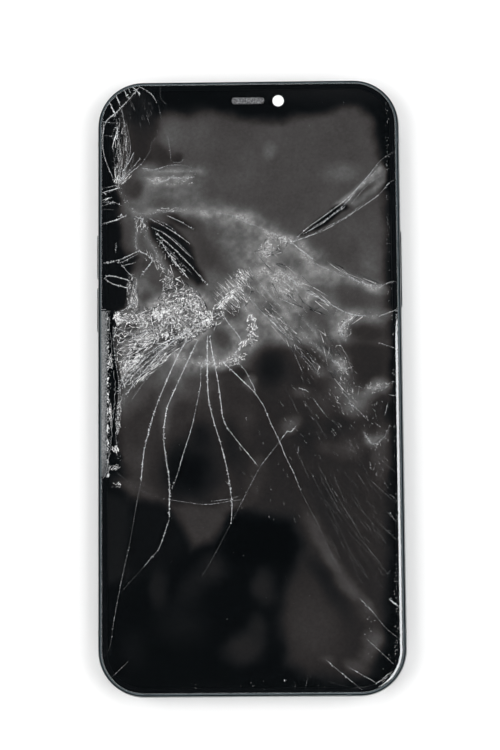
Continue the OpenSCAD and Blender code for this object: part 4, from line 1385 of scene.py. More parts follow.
FROSTS: tuple[Frost, ...] = (
    Frost((-15.6, 15.6), (5.4, 5), 15, 170, 25, 90, (0.5, 1.5), (0.09, 0.18), (0.4, 1)),
    Frost((-20.6, 17), (1.9, 1.7), 60, 44, 30, 80, (0.5, 1.2), (0.2, 0.42), (0.8, 1.6)),
    Frost((-16, 18.6), (3.2, 1.8), 10, 26, 30, 80, (0.4, 0.9), (0.18, 0.36), (0.7, 1.5)),
    Frost((-30, 15.6), (1.2, 1.2), 0, 14, 30, 80, (0.5, 1), (0.2, 0.36), (0.8, 1.5)),
    Frost((-26.6, 5.6), (2.4, 1), 38, 22, 38, 30, (0.5, 1.4), (0.16, 0.32), (0.7, 1.4)),
    Frost((-12, 18), (1.6, 2.4), 15, 30, 40, 80, (0.4, 0.9), (0.14, 0.3), (0.7, 1.4)),
    Frost((-25.6, 15.4), (4.4, 1.6), 0, 70, 5, 60, (0.6, 1.6), (0.09, 0.2), (0.4, 1)),
    Frost((-30.6, 15.6), (0.9, 1.6), 0, 40, 85, 60, (0.5, 1.4), (0.1, 0.22), (0.5, 1)),
    Frost((-24.6, 10.4), (5.4, 1.8), 25, 110, 25, 35, (0.7, 2.2), (0.07, 0.16), (0.35, 1)),
    Frost((-27.4, 5.6), (3, 2), 35, 80, 38, 25, (0.8, 2.2), (0.08, 0.17), (0.3, 1)),
    Frost((-19.6, 11.6), (0.8, 0.8), 0, 14, 60, 60, (0.5, 1), (0.2, 0.4), (0.9, 1.6)),
    Frost((-9.8, 15.2), (1.5, 2), 0, 50, 70, 80, (0.4, 1.1), (0.12, 0.32), (0.6, 1.5)),
    Frost((-22, 4.4), (6, 1), 40, 50, 41, 14, (0.9, 2.6), (0.07, 0.14), (0.3, 1)),
    Frost((-4.6, 21.6), (2.8, 5), -38, 90, 130, 10, (1.2, 3.2), (0.06, 0.12), (0.2, 0.85)),
    Frost((-5.4, 19.8), (0.8, 3), -42, 46, 50, 25, (0.6, 1.5), (0.14, 0.3), (0.6, 1.5)),
    Frost((-1.6, 25), (1.6, 2.6), -38, 40, 130, 14, (0.8, 2), (0.08, 0.15), (0.3, 0.95)),
    Frost((0.4, 12.6), (1.2, 3.6), 0, 54, 60, 80, (0.4, 1.1), (0.1, 0.26), (0.25, 1.4)),
    Frost((-1.4, 9.4), (0.8, 1.4), -35, 14, 60, 20, (0.8, 1.6), (0.14, 0.24), (0.7, 1)),
    Frost((-3.4, 5.8), (3, 1.2), 20, 50, 30, 80, (0.4, 1), (0.09, 0.17), (0.3, 0.95)),
    Frost((-9, 4.6), (3.4, 0.8), 0, 40, 5, 80, (0.3, 0.8), (0.07, 0.14), (0.2, 0.8)),
    Frost((-27.2, 22), (1.3, 4.6), 0, 40, 88, 25, (0.6, 1.8), (0.07, 0.14), (0.2, 0.8)),
    Frost((-25.2, 37.6), (1.2, 2), 10, 24, 75, 40, (0.5, 1.2), (0.08, 0.15), (0.3, 0.9)),
    Frost((-29.8, 55), (1.6, 7.4), 0, 46, 84, 12, (0.9, 3.4), (0.04, 0.08), (0.2, 0.85)),
    Frost((-25.4, 64.6), (3.2, 3.6), 0, 16, 108, 8, (0.6, 2.4), (0.03, 0.05), (0.1, 0.4)),
    Frost((-30.6, 49.4), (0.9, 2.6), 0, 24, 82, 25, (0.9, 2.4), (0.08, 0.15), (0.35, 0.95)),
    Frost((-28.8, 48.8), (1.6, 1.2), 30, 24, 48, 25, (0.7, 1.8), (0.08, 0.14), (0.3, 0.9)),
    Frost((-18.6, 24.4), (2.8, 1.8), -30, 40, 30, 70, (0.5, 1.4), (0.07, 0.14), (0.25, 0.85)),
    Frost((-16.4, 27.6), (0.6, 3.6), 38, 16, 128, 20, (0.6, 1.6), (0.08, 0.16), (0.3, 0.9)),
    Frost((-21.4, 28.4), (0.7, 4), 38, 22, 118, 25, (0.6, 1.6), (0.07, 0.14), (0.25, 0.9)),
    Frost((-30.4, -7), (0.5, 4.6), -5, 50, 82, 35, (0.5, 1.5), (0.07, 0.14), (0.2, 0.85)),
    Frost((-32.3, -6.4), (0.35, 2.6), 0, 40, 88, 12, (0.6, 1.8), (0.06, 0.13), (0.15, 0.6)),
    Frost((-32.2, 5.6), (0.6, 1.6), 0, 34, 60, 70, (0.3, 0.9), (0.08, 0.18), (0.15, 0.7)),
    Frost((-31.2, -14.6), (0.8, 1.2), -30, 18, 100, 40, (0.5, 1.2), (0.12, 0.26), (0.5, 1)),
    Frost((-31.4, -19), (1.3, 0.7), 0, 18, 10, 50, (0.4, 1), (0.09, 0.2), (0.3, 0.95)),
    Frost((-31, -23), (1, 0.8), 0, 16, 60, 90, (0.3, 0.8), (0.08, 0.16), (0.15, 0.7)),
    Frost((-18, 47.8), (5.6, 1.1), 0, 40, 8, 30, (0.4, 1.1), (0.05, 0.1), (0.15, 0.7)),
    Frost((-17.6, 41), (4, 0.5), 0, 30, 3, 15, (0.4, 1.2), (0.05, 0.1), (0.15, 0.7)),
    Frost((4.2, 31.6), (2, 1.6), 0, 40, 45, 70, (0.3, 0.7), (0.07, 0.13), (0.15, 0.6)),
    Frost((8.8, 33.4), (1.8, 0.8), -25, 26, -30, 50, (0.3, 0.9), (0.07, 0.14), (0.2, 0.8)),
    Frost((6, 22), (9, 7), -35, 170, 130, 30, (0.4, 1.3), (0.045, 0.09), (0.05, 0.5)),
    Frost((9.4, 22.6), (2.4, 3), -35, 60, 128, 16, (0.5, 1.3), (0.05, 0.1), (0.15, 0.6)),
    Frost((8, 13), (5, 1.2), -42, 60, 137, 14, (0.5, 1.5), (0.06, 0.11), (0.15, 0.65)),
    Frost((15, 8), (8, 5), -40, 80, 128, 30, (0.3, 1.1), (0.045, 0.09), (0.05, 0.45)),
    Frost((21.4, 3), (1.4, 3.4), 0, 46, 110, 50, (0.3, 0.9), (0.06, 0.12), (0.15, 0.7)),
    Frost((22, -3), (4, 4), 30, 60, 125, 30, (0.4, 1.2), (0.05, 0.1), (0.05, 0.55)),
    Frost((29, -1), (3, 1.4), 10, 40, 20, 60, (0.3, 1), (0.06, 0.12), (0.15, 0.7)),
    Frost((22, 13), (1.4, 2.4), 20, 34, 70, 40, (0.3, 0.9), (0.06, 0.12), (0.2, 0.8)),
    Frost((18, -6), (12, 10), -40, 90, 124, 14, (0.5, 2), (0.04, 0.08), (0.05, 0.35)),
    Frost((22, -28), (10, 16), 0, 56, 121, 6, (1.5, 7), (0.03, 0.05), (0.03, 0.13)),
    Frost((28, -32), (5, 14), 0, 36, 128, 8, (1, 4), (0.03, 0.05), (0.03, 0.16)),
    Frost((29, -12), (3, 10), 0, 60, 100, 40, (0.3, 1.2), (0.05, 0.1), (0.05, 0.5)),
    Frost((8, -20), (14, 12), 0, 46, 112, 20, (0.4, 1.6), (0.04, 0.08), (0.03, 0.3)),
    Frost((27.4, -57), (2, 6), 0, 16, 40, 60, (0.25, 0.5), (0.06, 0.12), (0.1, 0.5)),
    Frost((33, -55), (0.5, 12), 0, 40, 50, 60, (0.2, 0.6), (0.05, 0.1), (0.1, 0.6)),
    Frost((30.6, -67.4), (3.2, 0.5), 38, 12, 32, 12, (0.6, 1.8), (0.06, 0.12), (0.4, 1)),
    Frost((32, -62), (0.8, 5), -30, 8, 60, 30, (0.2, 0.5), (0.05, 0.1), (0.15, 0.6)),
    Frost((4, -68.8), (28, 1), 0, 16, 60, 90, (0.2, 0.5), (0.04, 0.08), (0.05, 0.4)),
    Frost((-21.6, 16.9), (1.1, 1.3), 60, 12, 40, 80, (0.7, 1.5), (0.35, 0.6), (1.2, 2.2)),
    Frost((-18.6, 17.4), (1.8, 0.5), 0, 12, 10, 30, (0.6, 1.3), (0.25, 0.45), (1, 2)),
    Frost((-17.8, 14.6), (0.7, 0.8), 0, 8, 40, 80, (0.5, 1), (0.25, 0.45), (1, 2)),
    Frost((-19.4, 11.7), (0.35, 0.5), 0, 5, 60, 40, (0.7, 1.1), (0.4, 0.6), (1.4, 2.4)),
    Frost((-9.4, 15.2), (0.7, 0.8), 0, 10, 60, 80, (0.4, 0.9), (0.25, 0.45), (1, 2)),
    Frost((-30.6, 16.2), (0.6, 0.7), 0, 8, 30, 80, (0.6, 1.1), (0.3, 0.5), (1, 2)),
)


@dataclass(frozen=True)
class Web:
    """A patch where the glass broke into a net of small cells.

    Attributes:
        outline: Corners of the patch.
        cell: Size of a cell.
        share: Share of the cell edges that shows.
        width: Thinnest and widest edge.
        glint: Faintest and brightest edge.
        stretch: How much longer a cell is along its grain than across it.
        grain: Direction of the grain in degrees.
        shade: Faces turned away from the light, per lit one; 0 for none.
    """

    outline: Route
    cell: float
    share: float
    width: Point
    glint: Point
    stretch: float = 1.0
    grain: float = 0.0
    shade: float = 0.0


WEBS: tuple[Web, ...] = (
    Web((
        (-22.6, 17.4), (-20.8, 21), (-19.6, 24.6), (-16, 25.6), (-14.4, 23.6), (-12, 22), (-10.4, 19),
        (-8.4, 17), (-8.4, 13.6), (-12, 11.2), (-18, 9), (-22, 9.6),
    ), 0.72, 0.52, (0.06, 0.28), (0.15, 2.6), 1.2, 20, 1.3),
    Web((
        (-31.8, 17.2), (-27, 16.6), (-25.4, 18.6), (-22.6, 18.6), (-21.6, 9.6), (-26, 6.4), (-31.4, 5.6),
    ), 0.85, 0.5, (0.06, 0.26), (0.12, 2.4), 1.6, 22, 1.2),
    Web((
        (-31, 5.6), (-25.6, 6.4), (-20.6, 9.6), (-14, 12.4), (-12, 11), (-18, 6.8), (-24, 2.4),
        (-29.4, -1.6),
    ), 0.95, 0.46, (0.05, 0.22), (0.12, 2.2), 3, 38, 1.2),
    Web((
        (-28.6, 26), (-26.2, 26.4), (-25.8, 18), (-29, 17.2),
    ), 0.9, 0.42, (0.06, 0.16), (0.1, 1.4), 2.2, 85, 1),
    Web((
        (-31.2, 62), (-28.4, 62), (-27.6, 49), (-30.6, 47.4),
    ), 1, 0.16, (0.045, 0.09), (0.1, 0.8), 5, 86),
    Web((
        (-23, 31), (-20, 32), (-17.4, 26.4), (-15.6, 22.4), (-20, 21),
    ), 0.9, 0.15, (0.06, 0.14), (0.1, 1.2), 2, 118),
    Web((
        (-8.4, 18.4), (-6.4, 19.4), (-5.6, 15.4), (-8.2, 12.4), (-10, 13),
    ), 0.7, 0.46, (0.07, 0.24), (0.2, 2.2), 1, 0, 0.8),
    Web((
        (-7.4, 18), (-3, 26.6), (1.6, 25.6), (-0.4, 18.4), (-3.4, 15.4),
    ), 0.9, 0.36, (0.05, 0.15), (0.1, 1.2), 2.6, 135, 0.6),
    Web((
        (-0.6, 16.4), (1.8, 15.4), (2.4, 9.4), (-0.8, 8.6),
    ), 0.8, 0.42, (0.07, 0.2), (0.1, 1.6), 1, 0, 0.8),
    Web(((-12, 7), (-3, 8), (-2.4, 4), (-11, 3.4)), 1.1, 0.3, (0.05, 0.11), (0.05, 0.8), 1.5, 10),
    Web(((-1, 21), (2, 23), (17, 3), (15, 0.6)), 1.2, 0.17, (0.05, 0.11), (0.08, 0.9), 4, 133, 0.9),
    Web((
        (1, 31), (4, 32), (14, 24), (22, 17), (19, 15), (6, 20),
    ), 1.4, 0.15, (0.05, 0.11), (0.08, 0.9), 3, 140, 0.8),
    Web(((2.2, 29), (3, 34), (9.4, 35), (9, 31)), 0.8, 0.3, (0.06, 0.16), (0.1, 1.5), 1.5, 30, 0.8),
    Web((
        (15, 13), (17, 15), (26, 2), (26, -7), (22, -4), (18, 2),
    ), 1.3, 0.14, (0.05, 0.13), (0.1, 1.3), 3, 125, 0.6),
    Web(((12, 31), (14, 31), (31, 23), (30, 21)), 1.2, 0.16, (0.05, 0.13), (0.1, 1.2), 3.4, 150, 0.5),
    Web((
        (20.6, 9.6), (20, 14), (24, 17), (30, 16), (25.6, 15), (22.6, 12),
    ), 0.9, 0.24, (0.06, 0.15), (0.1, 1.4), 2, 40, 0.6),
)


@dataclass
class SplinterWork:
    """Gathers cracks and splinters that lie inside the glass.

    Attributes:
        seed: Seed of its random draws.
        skin: Glass that is left above a crack or splinter.
        depth: How deep a crack reaches.
        step: Length of a crack's segments.
        thinning: Segments over which a crack's end thins out.
        tilt: How far a splinter dips at most, in radians.
        skew: How rare the bright edges of a net are, and the bright splinters of a frost.
        rng: The random draws.
        bm: The mesh.
    """

    seed: int
    skin: float = 0.02
    depth: float = 0.4
    step: float = 0.36
    thinning: float = 3.0
    tilt: float = 0.12
    skew: Point = (2.0, 1.4)
    rng: random.Random = field(init=False)
    bm: BMesh = field(default_factory=glinting)

    def __post_init__(self) -> None:
        """Starts its own random draws."""
        self.rng = random.Random(self.seed)

    def splinter(self, bm: BMesh, x: float, y: float, size: Point, turn: float, glint: float) -> None:
        """Adds one pointed splinter.

        Args:
            bm: BMesh that takes it.
            x: Place across.
            y: Place along.
            size: Its length and width.
            turn: Direction of its point, in radians.
            glint: How bright it is.
        """
        length, width = size
        if float(GLASS.depth(np.float64(x), np.float64(y))) < length / 2 + 0.1:
            return
        tilt = self.rng.uniform(-self.tilt, self.tilt)
        height = glass_top(x, y) - width * 0.75 - abs(tilt) * length / 2 - self.skin
        place = Matrix.Translation((x, y, height)) @ Matrix.Rotation(turn, 4, "Z")
        lying = Matrix.Rotation(math.pi / 2 + tilt, 4, "Y") @ Matrix.Rotation(self.rng.uniform(0, 2), 4, "Z")
        made = bmesh.ops.create_cone(
            bm, cap_ends=True, segments=3, radius1=width * 0.6, radius2=0.0, depth=length,
            matrix=place @ lying,
        )
        layer = bm.verts.layers.float[GLINT]
        for vert in made["verts"]:
            vert[layer] = glint

    def crack(self, crack: Crack) -> None:
        """Adds one crack as a thin wedge with splinters along it."""
        line = crack.style.value
        part = glinting()
        layer = part.verts.layers.float[GLINT]
        points = resample(crack.route, self.step)
        stations = []
        swing = self.rng.uniform(0.2, 0.8)
        for k, point in enumerate(points):
            ahead, behind = points[min(k + 1, len(points) - 1)], points[max(k - 1, 0)]
            along = (ahead - behind).normalized()
            side = Vector((-along.y, along.x))
            jump = self.rng.uniform(-line.jag, line.jag)
            swing = min(max(swing + self.rng.uniform(-0.3, 0.3), 0.0), 1.0)
            taper = min(1.0, (min(k, len(points) - 1 - k) + 0.3) / self.thinning)
            width = line.width * taper * self.rng.uniform(0.65, 1.25) / 2
            glint = line.faint + (line.bright - line.faint) * swing * self.rng.uniform(0.35, 1.0)
            glint *= 1 - line.fade * k / len(points)
            spot = point + side * jump
            top = glass_top(*spot) - self.skin
            left, right, root = (spot + side * width * share for share in (1.0, -1.0, -0.4))
            foot = max(top - self.depth, GLASS_LOW.z + self.skin)
            stations.append(((*left, top), (*right, top), (*root, foot), glint))
        ring = [part.verts.new(p) for p in stations[0][:3]]
        face = part.faces.new(ring)
        for vert in ring:
            vert[layer] = stations[0][3]
        for station in stations[1:]:
            fresh, (face, *_) = extruded(part, [face])
            following = []
            for old, place in zip(ring, station[:3]):
                vert = next(v for v in fresh if any(e.other_vert(v) is old for e in v.link_edges))
                vert.co = place
                vert[layer] = station[3]
                following.append(vert)
            ring = following
        bmesh.ops.recalc_face_normals(part, faces=part.faces)
        length = sum((b - a).length for a, b in zip(points, points[1:]))
        for _ in range(round(length * line.beads)):
            spot = self.rng.choice(points)
            x = spot.x + self.rng.gauss(0, line.spread)
            y = spot.y + self.rng.gauss(0, line.spread)
            size = (self.rng.uniform(1.8, 5.0) * line.width, self.rng.uniform(0.6, 1.5) * line.width)
            dimmest, brightest = (line.bright * 0.5, 1.0) if line.bright > 0.5 else (0.1, 0.8)
            glint = self.rng.uniform(dimmest, brightest)
            self.splinter(part, x, y, size, self.rng.uniform(0, 2 * math.pi), glint)
        absorb(self.bm, part)

    def web(self, web: Web) -> None:
        """Adds one net of cell edges, each a thin splinter between two neighbouring points."""
        c, s = math.cos(math.radians(web.grain)), math.sin(math.radians(web.grain))
        corners = [Vector((x * c + y * s, (y * c - x * s) * web.stretch)) for x, y in web.outline]
        shape = Cloud(0, 1, tuple((p.x, p.y) for p in corners))
        pitch = web.cell * math.sqrt(web.stretch)
        low = Vector((min(p.x for p in corners), min(p.y for p in corners)))
        high = Vector((max(p.x for p in corners), max(p.y for p in corners)))
        spots = [
            Vector((low.x + (i + self.rng.random()) * pitch, low.y + (j + self.rng.random()) * pitch))
            for i in range(math.ceil((high.x - low.x) / pitch))
            for j in range(math.ceil((high.y - low.y) / pitch))
        ]
        inside = shape.weight(np.array([p.x for p in spots]), np.array([p.y for p in spots])) > 0.5
        spots = [p for p, keep in zip(spots, inside) if keep]
        edges = delaunay_2d_cdt(spots, [], [], 0, 1e-5)[1]
        part = glinting()
        flat = [Vector((p.x * c - p.y / web.stretch * s, p.x * s + p.y / web.stretch * c)) for p in spots]
        for first, second in edges:
            span = flat[second] - flat[first]
            if self.rng.random() > web.share or span.length > 3.2 * pitch:
                continue
            spot = (flat[first] + flat[second]) / 2
            turn = math.atan2(span.y, span.x) + (math.pi if self.rng.random() < 0.5 else 0)
            faint, bright = web.glint
            glint = self.rng.random() ** self.skew[0] * (bright - faint) + faint
            size = (span.length * 1.1, self.rng.uniform(*web.width))
            self.splinter(part, spot.x, spot.y, size, turn, glint)
        absorb(self.bm, part)

    def frost(self, frost: Frost) -> None:
        """Adds one patch of short splinters, denser towards its middle."""
        part = glinting()
        c, s = math.cos(math.radians(frost.turn)), math.sin(math.radians(frost.turn))
        for _ in range(frost.count):
            turn, out = self.rng.uniform(0, 2 * math.pi), self.rng.random() ** 0.6
            a, b = frost.radii[0] * out * math.cos(turn), frost.radii[1] * out * math.sin(turn)
            x, y = frost.centre[0] + a * c - b * s, frost.centre[1] + a * s + b * c
            stray = self.rng.uniform(-frost.scatter, frost.scatter)
            faint, bright = frost.glint
            glint = self.rng.uniform(0, 1) ** self.skew[1] * (bright - faint) + faint
            size = (self.rng.uniform(*frost.length), self.rng.uniform(*frost.width))
            self.splinter(part, x, y, size, math.radians(frost.grain + stray), glint)
        absorb(self.bm, part)


# ---------- sub-assemblies ----------


@dataclass
class FrontGlass:
    """The cover glass with its earpiece slot, the break at its left edge and every crack in it.

    Attributes:
        gap: Air between the glass and what lies under it.
        slot_length: Length of the earpiece slot.
        slot_width: Width of the earpiece slot.
        corner_steps: Segments in each corner.
        edge_steps: Segments in the soft edge.
        chip_route: Where the left edge broke off.
        jag: How ragged that break is.
        chip_step: Distance between the ragged corners.
        sloped: Steepest and flattest face, by its normal's height, that is polished rim.
        shade_width: Thinnest and widest shaded edge of a net.
        shade_glint: Faintest and strongest shaded edge.
    """

    gap: float = 0.01
    slot_length: float = 7.7
    slot_width: float = 1.5
    corner_steps: int = 16
    edge_steps: int = 6
    chip_route: Route = (
        (-33.9, 17.7), (-33.2, 17.4), (-32.6, 14), (-32.1, 9), (-32.3, 6), (-31.6, 3), (-31.2, 0),
        (-31.4, -4), (-31.9, -9), (-32.2, -13), (-32.8, -17), (-33.5, -20.5), (-34.2, -21.5),
    )
    jag: float = 0.16
    chip_step: float = 0.45
    sloped: Point = (0.1, 0.999)
    shade_width: Point = (0.08, 0.26)
    shade_glint: Point = (0.5, 2.8)

    def chip_outline(self) -> list[Vector]:
        """Ragged outline of the lost strip, closed outside the glass."""
        rng = random.Random(11)
        ragged = []
        for point in resample(self.chip_route, self.chip_step):
            ragged.append(point + Vector((rng.uniform(-self.jag, self.jag), rng.uniform(-0.05, 0.05))))
        outer = GLASS_LOW.x - 1.5
        return [Vector((outer, ragged[0].y)), *ragged, Vector((outer, ragged[-1].y))]

    def build_plate(self) -> None:
        """Builds the plate and cuts the slot and the lost strip."""
        low, high = GLASS_LOW.z + self.gap, GLASS_HIGH.z
        stretch = EDGE_RUN / EDGE_DROP
        bm = slab(GLASS.half_w, GLASS.half_l, GLASS.radius, low * stretch, high * stretch, self.corner_steps)
        rim = [e for e in bm.edges if all(v.co.z > high * stretch - TINY for v in e.verts)]
        bevel(bm, rim, EDGE_RUN, self.edge_steps)
        bmesh.ops.scale(bm, vec=(1, 1, 1 / stretch), verts=bm.verts)
        bm.normal_update()
        for face in bm.faces:
            if self.sloped[0] < face.normal.z < self.sloped[1]:
                face.material_index = 2
        slot_cut = slab(
            self.slot_length / 2, self.slot_width / 2, self.slot_width / 2 - 0.01, low - 1, high + 1, 8
        )
        middle = box_mm("earpiece_mesh")
        bmesh.ops.translate(slot_cut, vec=(0, (middle[0].y + middle[1].y) / 2, 0), verts=slot_cut.verts)
        chip_cut = prism(self.chip_outline(), low - 1, high + 1)
        for face in chip_cut.faces:
            face.material_index = 1
        glass = ClearGlass("front_glass_clear").material()
        broken = BrokenGlass("broken_edge", clear=False).material()
        finishes = [glass, broken, ClearGlass("polished_rim", coated=0.16).material()]
        left = carve(bm, [slot_cut, chip_cut], finishes)
        piece_from(left, "glass_front", finishes, 30, replaces=("cover_glass",))

    def build_cracks(self) -> None:
        """Builds every crack and every splinter patch."""
        work = SplinterWork(23)
        for crack in CRACKS:
            work.crack(crack)
        fracture = BrokenGlass("fracture_faces").material()
        piece_from(work.bm, "crack_web", [fracture])
        work = SplinterWork(53)
        for web in WEBS:
            if web.shade:
                share = web.share * web.shade
                work.web(replace(web, share=share, width=self.shade_width, glint=self.shade_glint))
        shaded = BrokenGlass("shaded_faces", colour=(0.012, 0.014, 0.017), dull=(0.03, 0.034, 0.04))
        piece_from(work.bm, "crushed_shade", [shaded.material()])
        work = SplinterWork(37)
        for web in WEBS:
            work.web(web)
        for frost in FROSTS:
            work.frost(frost)
        crushed = BrokenGlass("crushed_faces", colour=(1.0, 1.0, 1.0), dull=(0.62, 0.64, 0.65))
        piece_from(work.bm, "crushed_glass", [crushed.material()])

    def build(self) -> None:
        """Builds the whole glass."""
        self.build_plate()
        self.build_cracks()


@dataclass
class ClearedLedge:
    """What lies where the glass broke out of the left edge: ground glass and beads.

    Attributes:
        top: Upper end of the break.
        foot: Lower end of the break.
        outer: Outer edge of the bed.
        inner: Inner edge of the bed.
        sunk: How far below the frame's top the bed lies.
        tone: Glint of the bed's middle.
        bead_count: Number of beads.
        bead_line: Line along which the beads lie.
        bead_height: Height at which they lie.
    """

    top: float = 17.4
    foot: float = -21.2
    outer: float = -34.62
    inner: float = -33.15
    sunk: float = 0.18
    tone: float = 0.17
    bead_count: int = 430
    bead_line: float = -32.95
    bead_height: float = 7.12

    def bed(self) -> BMesh:
        """Strip of ground glass that lies on the ledge."""
        rng = random.Random(5)
        base = box_mm("display_frame")[1].z - self.sunk
        bm = glinting()
        layer = bm.verts.layers.float[GLINT]
        middle = Matrix.Translation(((self.outer + self.inner) / 2, (self.top + self.foot) / 2, base))
        size = Matrix.Diagonal(((self.inner - self.outer) / 2, (self.top - self.foot) / 2, 1, 1))
        bmesh.ops.create_grid(bm, x_segments=9, y_segments=240, size=1.0, matrix=middle @ size)
        upper = list(bm.verts)
        lower, _ = extruded(bm, list(bm.faces))
        bmesh.ops.translate(bm, vec=(0, 0, -0.02), verts=lower)
        bmesh.ops.recalc_face_normals(bm, faces=bm.faces)
        for vert in upper:
            share = (vert.co.x - self.outer) / (self.inner - self.outer)
            foot = min(1.0, (vert.co.y - self.foot) / 6.0)
            vert.co.z += rng.uniform(0.02, 0.10) * min(1.0, share * 4 + 0.2)
            vert.co.x += rng.uniform(-0.03, 0.03)
            tone = self.tone + 0.12 * (share < 0.2) - 0.16 * share**3 + rng.uniform(-0.10, 0.10)
            vert[layer] = max(0.02, (tone + rng.gauss(0, 0.16) * (share > 0.75)) * (0.35 + 0.65 * foot))
        return bm

    def beads(self) -> BMesh:
        """Bright crumbs along the broken edge and dull ones beside it."""
        rng = random.Random(9)
        bm = glinting()
        layer = bm.verts.layers.float[GLINT]
        for _ in range(self.bead_count):
            y = rng.uniform(self.foot, self.top)
            bright = rng.random() < (0.1 if y > 7 else 0.35 + 0.4 * math.sin(1.7 * y))
            x = self.bead_line + rng.gauss(0, 0.12 if bright else 0.4)
            x = min(x, -31.6 - 0.05 * abs(y))
            size = rng.uniform(0.06, 0.17)
            long = rng.uniform(0.8, 2.6) if bright else rng.uniform(0.6, 1.4)
            place = Matrix.Translation((x, y, self.bead_height + size * 0.8))
            place = place @ Matrix.Rotation(rng.uniform(-0.3, 0.3), 4, "Z")
            shape = Matrix.Diagonal((1, long, 0.7, 1))
            made = bmesh.ops.create_icosphere(bm, subdivisions=1, radius=size, matrix=place @ shape)
            glint = rng.uniform(0.4, 1.0) if bright else rng.uniform(0.03, 0.30)
            for vert in made["verts"]:
                vert[layer] = glint
                vert.co += Vector((rng.uniform(-0.03, 0.03), rng.uniform(-0.03, 0.03), 0))
        return bm

    def build(self) -> None:
        """Builds the bed and the crumbs."""
        ground = GroundGlass("ground_glass").material()
        piece_from(self.bed(), "ground_glass_bed", [ground])
        piece_from(self.beads(), "glass_crumbs", [ground])


@dataclass
class Specks:
    """Dust and small nicks on the glass.

    Attributes:
        column_x: Line of the nicks along the right border.
        nicks: Number of nicks there.
        dust: Number of dust specks.
        ticks: Number of ticks on the right edge.
    """

    column_x: float = 32.4
    nicks: int = 60
    dust: int = 70
    ticks: int = 46

    def build(self) -> None:
        """Scatters dust, a column of nicks along the right border and ticks on the right edge."""
        work = SplinterWork(41)
        rng = work.rng
        part = glinting()
        for _ in range(self.nicks):
            y = rng.uniform(18, 66)
            size = (rng.uniform(0.12, 0.3), rng.uniform(0.06, 0.12))
            x = self.column_x + rng.gauss(0, 0.25)
            work.splinter(part, x, y, size, rng.uniform(0, 6), rng.uniform(0.15, 0.7))
        for _ in range(self.dust):
            x, y = rng.uniform(-33, 33), rng.uniform(-69, 69)
            size = (rng.uniform(0.1, 0.25), rng.uniform(0.05, 0.1))
            work.splinter(part, x, y, size, rng.uniform(0, 6), rng.uniform(0.1, 0.4))
        for _ in range(self.ticks):
            y = rng.uniform(-60, 16)
            size = (rng.uniform(0.2, 0.5), rng.uniform(0.06, 0.14))
            x = rng.uniform(33.0, 33.9)
            work.splinter(part, x, y, size, rng.uniform(-0.5, 0.5), rng.uniform(0.2, 0.8))
        absorb(work.bm, part)
        piece_from(work.bm, "dust_specks", [BrokenGlass("dust_white").material()])


@dataclass
class Display:
    """The display under the glass, with the cloud where its layers have parted.

    Attributes:
        pitch: Size of a mesh cell.
        drop: How far the painted face lies below the panel's top.
        black: Display level where nothing has parted.
        warp: How far the patches' outlines wander.
        ripple: How far they waver on a small scale.
    """

    pitch: float = 0.45
    drop: float = 0.03
    black: float = 14.0
    warp: float = 0.6
    ripple: float = 0.16

    def paint(self, x: np.ndarray, y: np.ndarray) -> np.ndarray:
        """Display level at each place.

        Args:
            x: Places across.
            y: Places along.

        Returns:
            Levels from 0 to 255.
        """
        u = x + self.warp * mottle(x, y, 3.6, 1) + self.ripple * mottle(x, y, 1.2, 2)
        v = y + self.warp * mottle(x, y, 3.6, 3) + self.ripple * mottle(x, y, 1.2, 4)
        level = np.full(x.shape, self.black)
        for cloud in CLOUDS:
            share = cloud.weight(u, v)
            level = level * (1 - share) + cloud.level * share
        lift = np.zeros(x.shape)
        for crack in CRACKS:
            line = crack.style.value
            if line.bloom:
                near = np.full(x.shape, 1e9)
                for a, b in zip(crack.route, crack.route[1:]):
                    near = np.minimum(near, span_distance(u, v, a, b))
                lift = np.maximum(lift, line.bloom * np.exp(-((near / line.reach) ** 1.3)))
        clouded = np.clip((level - 18) / 30, 0, 1)
        level = level + lift * (0.35 + 0.65 * clouded)
        rough = np.clip((level - 76) / 30, 0, 1)
        texture = 0.07 * mottle(x, y, 6.0, 7) + (0.03 + 0.10 * rough) * mottle(x, y, 2.2, 5)
        texture += (0.02 + 0.12 * rough) * mottle(x, y, 0.9, 6)
        return level * (1 + texture * np.clip((level - 25) / 45, 0.3, 1))

    def build(self) -> None:
        """Builds the panel's mesh and its cloud."""
        low, high = box_mm("display_panel")
        outline = Outline(high.x, high.y, GLASS_CORNER - (GLASS_HIGH.x - high.x))
        across, along = round(2 * high.x / self.pitch), round(2 * high.y / self.pitch)
        bm = bmesh.new()
        layer = bm.verts.layers.float.new(BLOOM)
        size = Matrix.Diagonal((high.x, high.y, 1, 1))
        place = Matrix.Translation((0, 0, high.z - self.drop))
        bmesh.ops.create_grid(bm, x_segments=across, y_segments=along, size=1.0, matrix=place @ size)
        for vert in bm.verts:
            vert.co.x, vert.co.y = outline.held(vert.co.x, vert.co.y)
        bmesh.ops.remove_doubles(bm, verts=bm.verts, dist=TINY)
        bmesh.ops.dissolve_degenerate(bm, dist=TINY, edges=bm.edges)
        top = list(bm.verts)
        spots = np.array([v.co[:2] for v in top])
        levels = self.paint(spots[:, 0], spots[:, 1]) / 255
        for vert, level in zip(top, levels):
            vert[layer] = float(level)
        lower, _ = extruded(bm, list(bm.faces))
        bmesh.ops.translate(bm, vec=(0, 0, low.z - high.z + self.drop), verts=lower)
        bmesh.ops.recalc_face_normals(bm, faces=bm.faces)
        dress = [CloudedDisplay().material()]
        piece_from(bm, "clouded_panel", dress, replaces=("display_panel",))


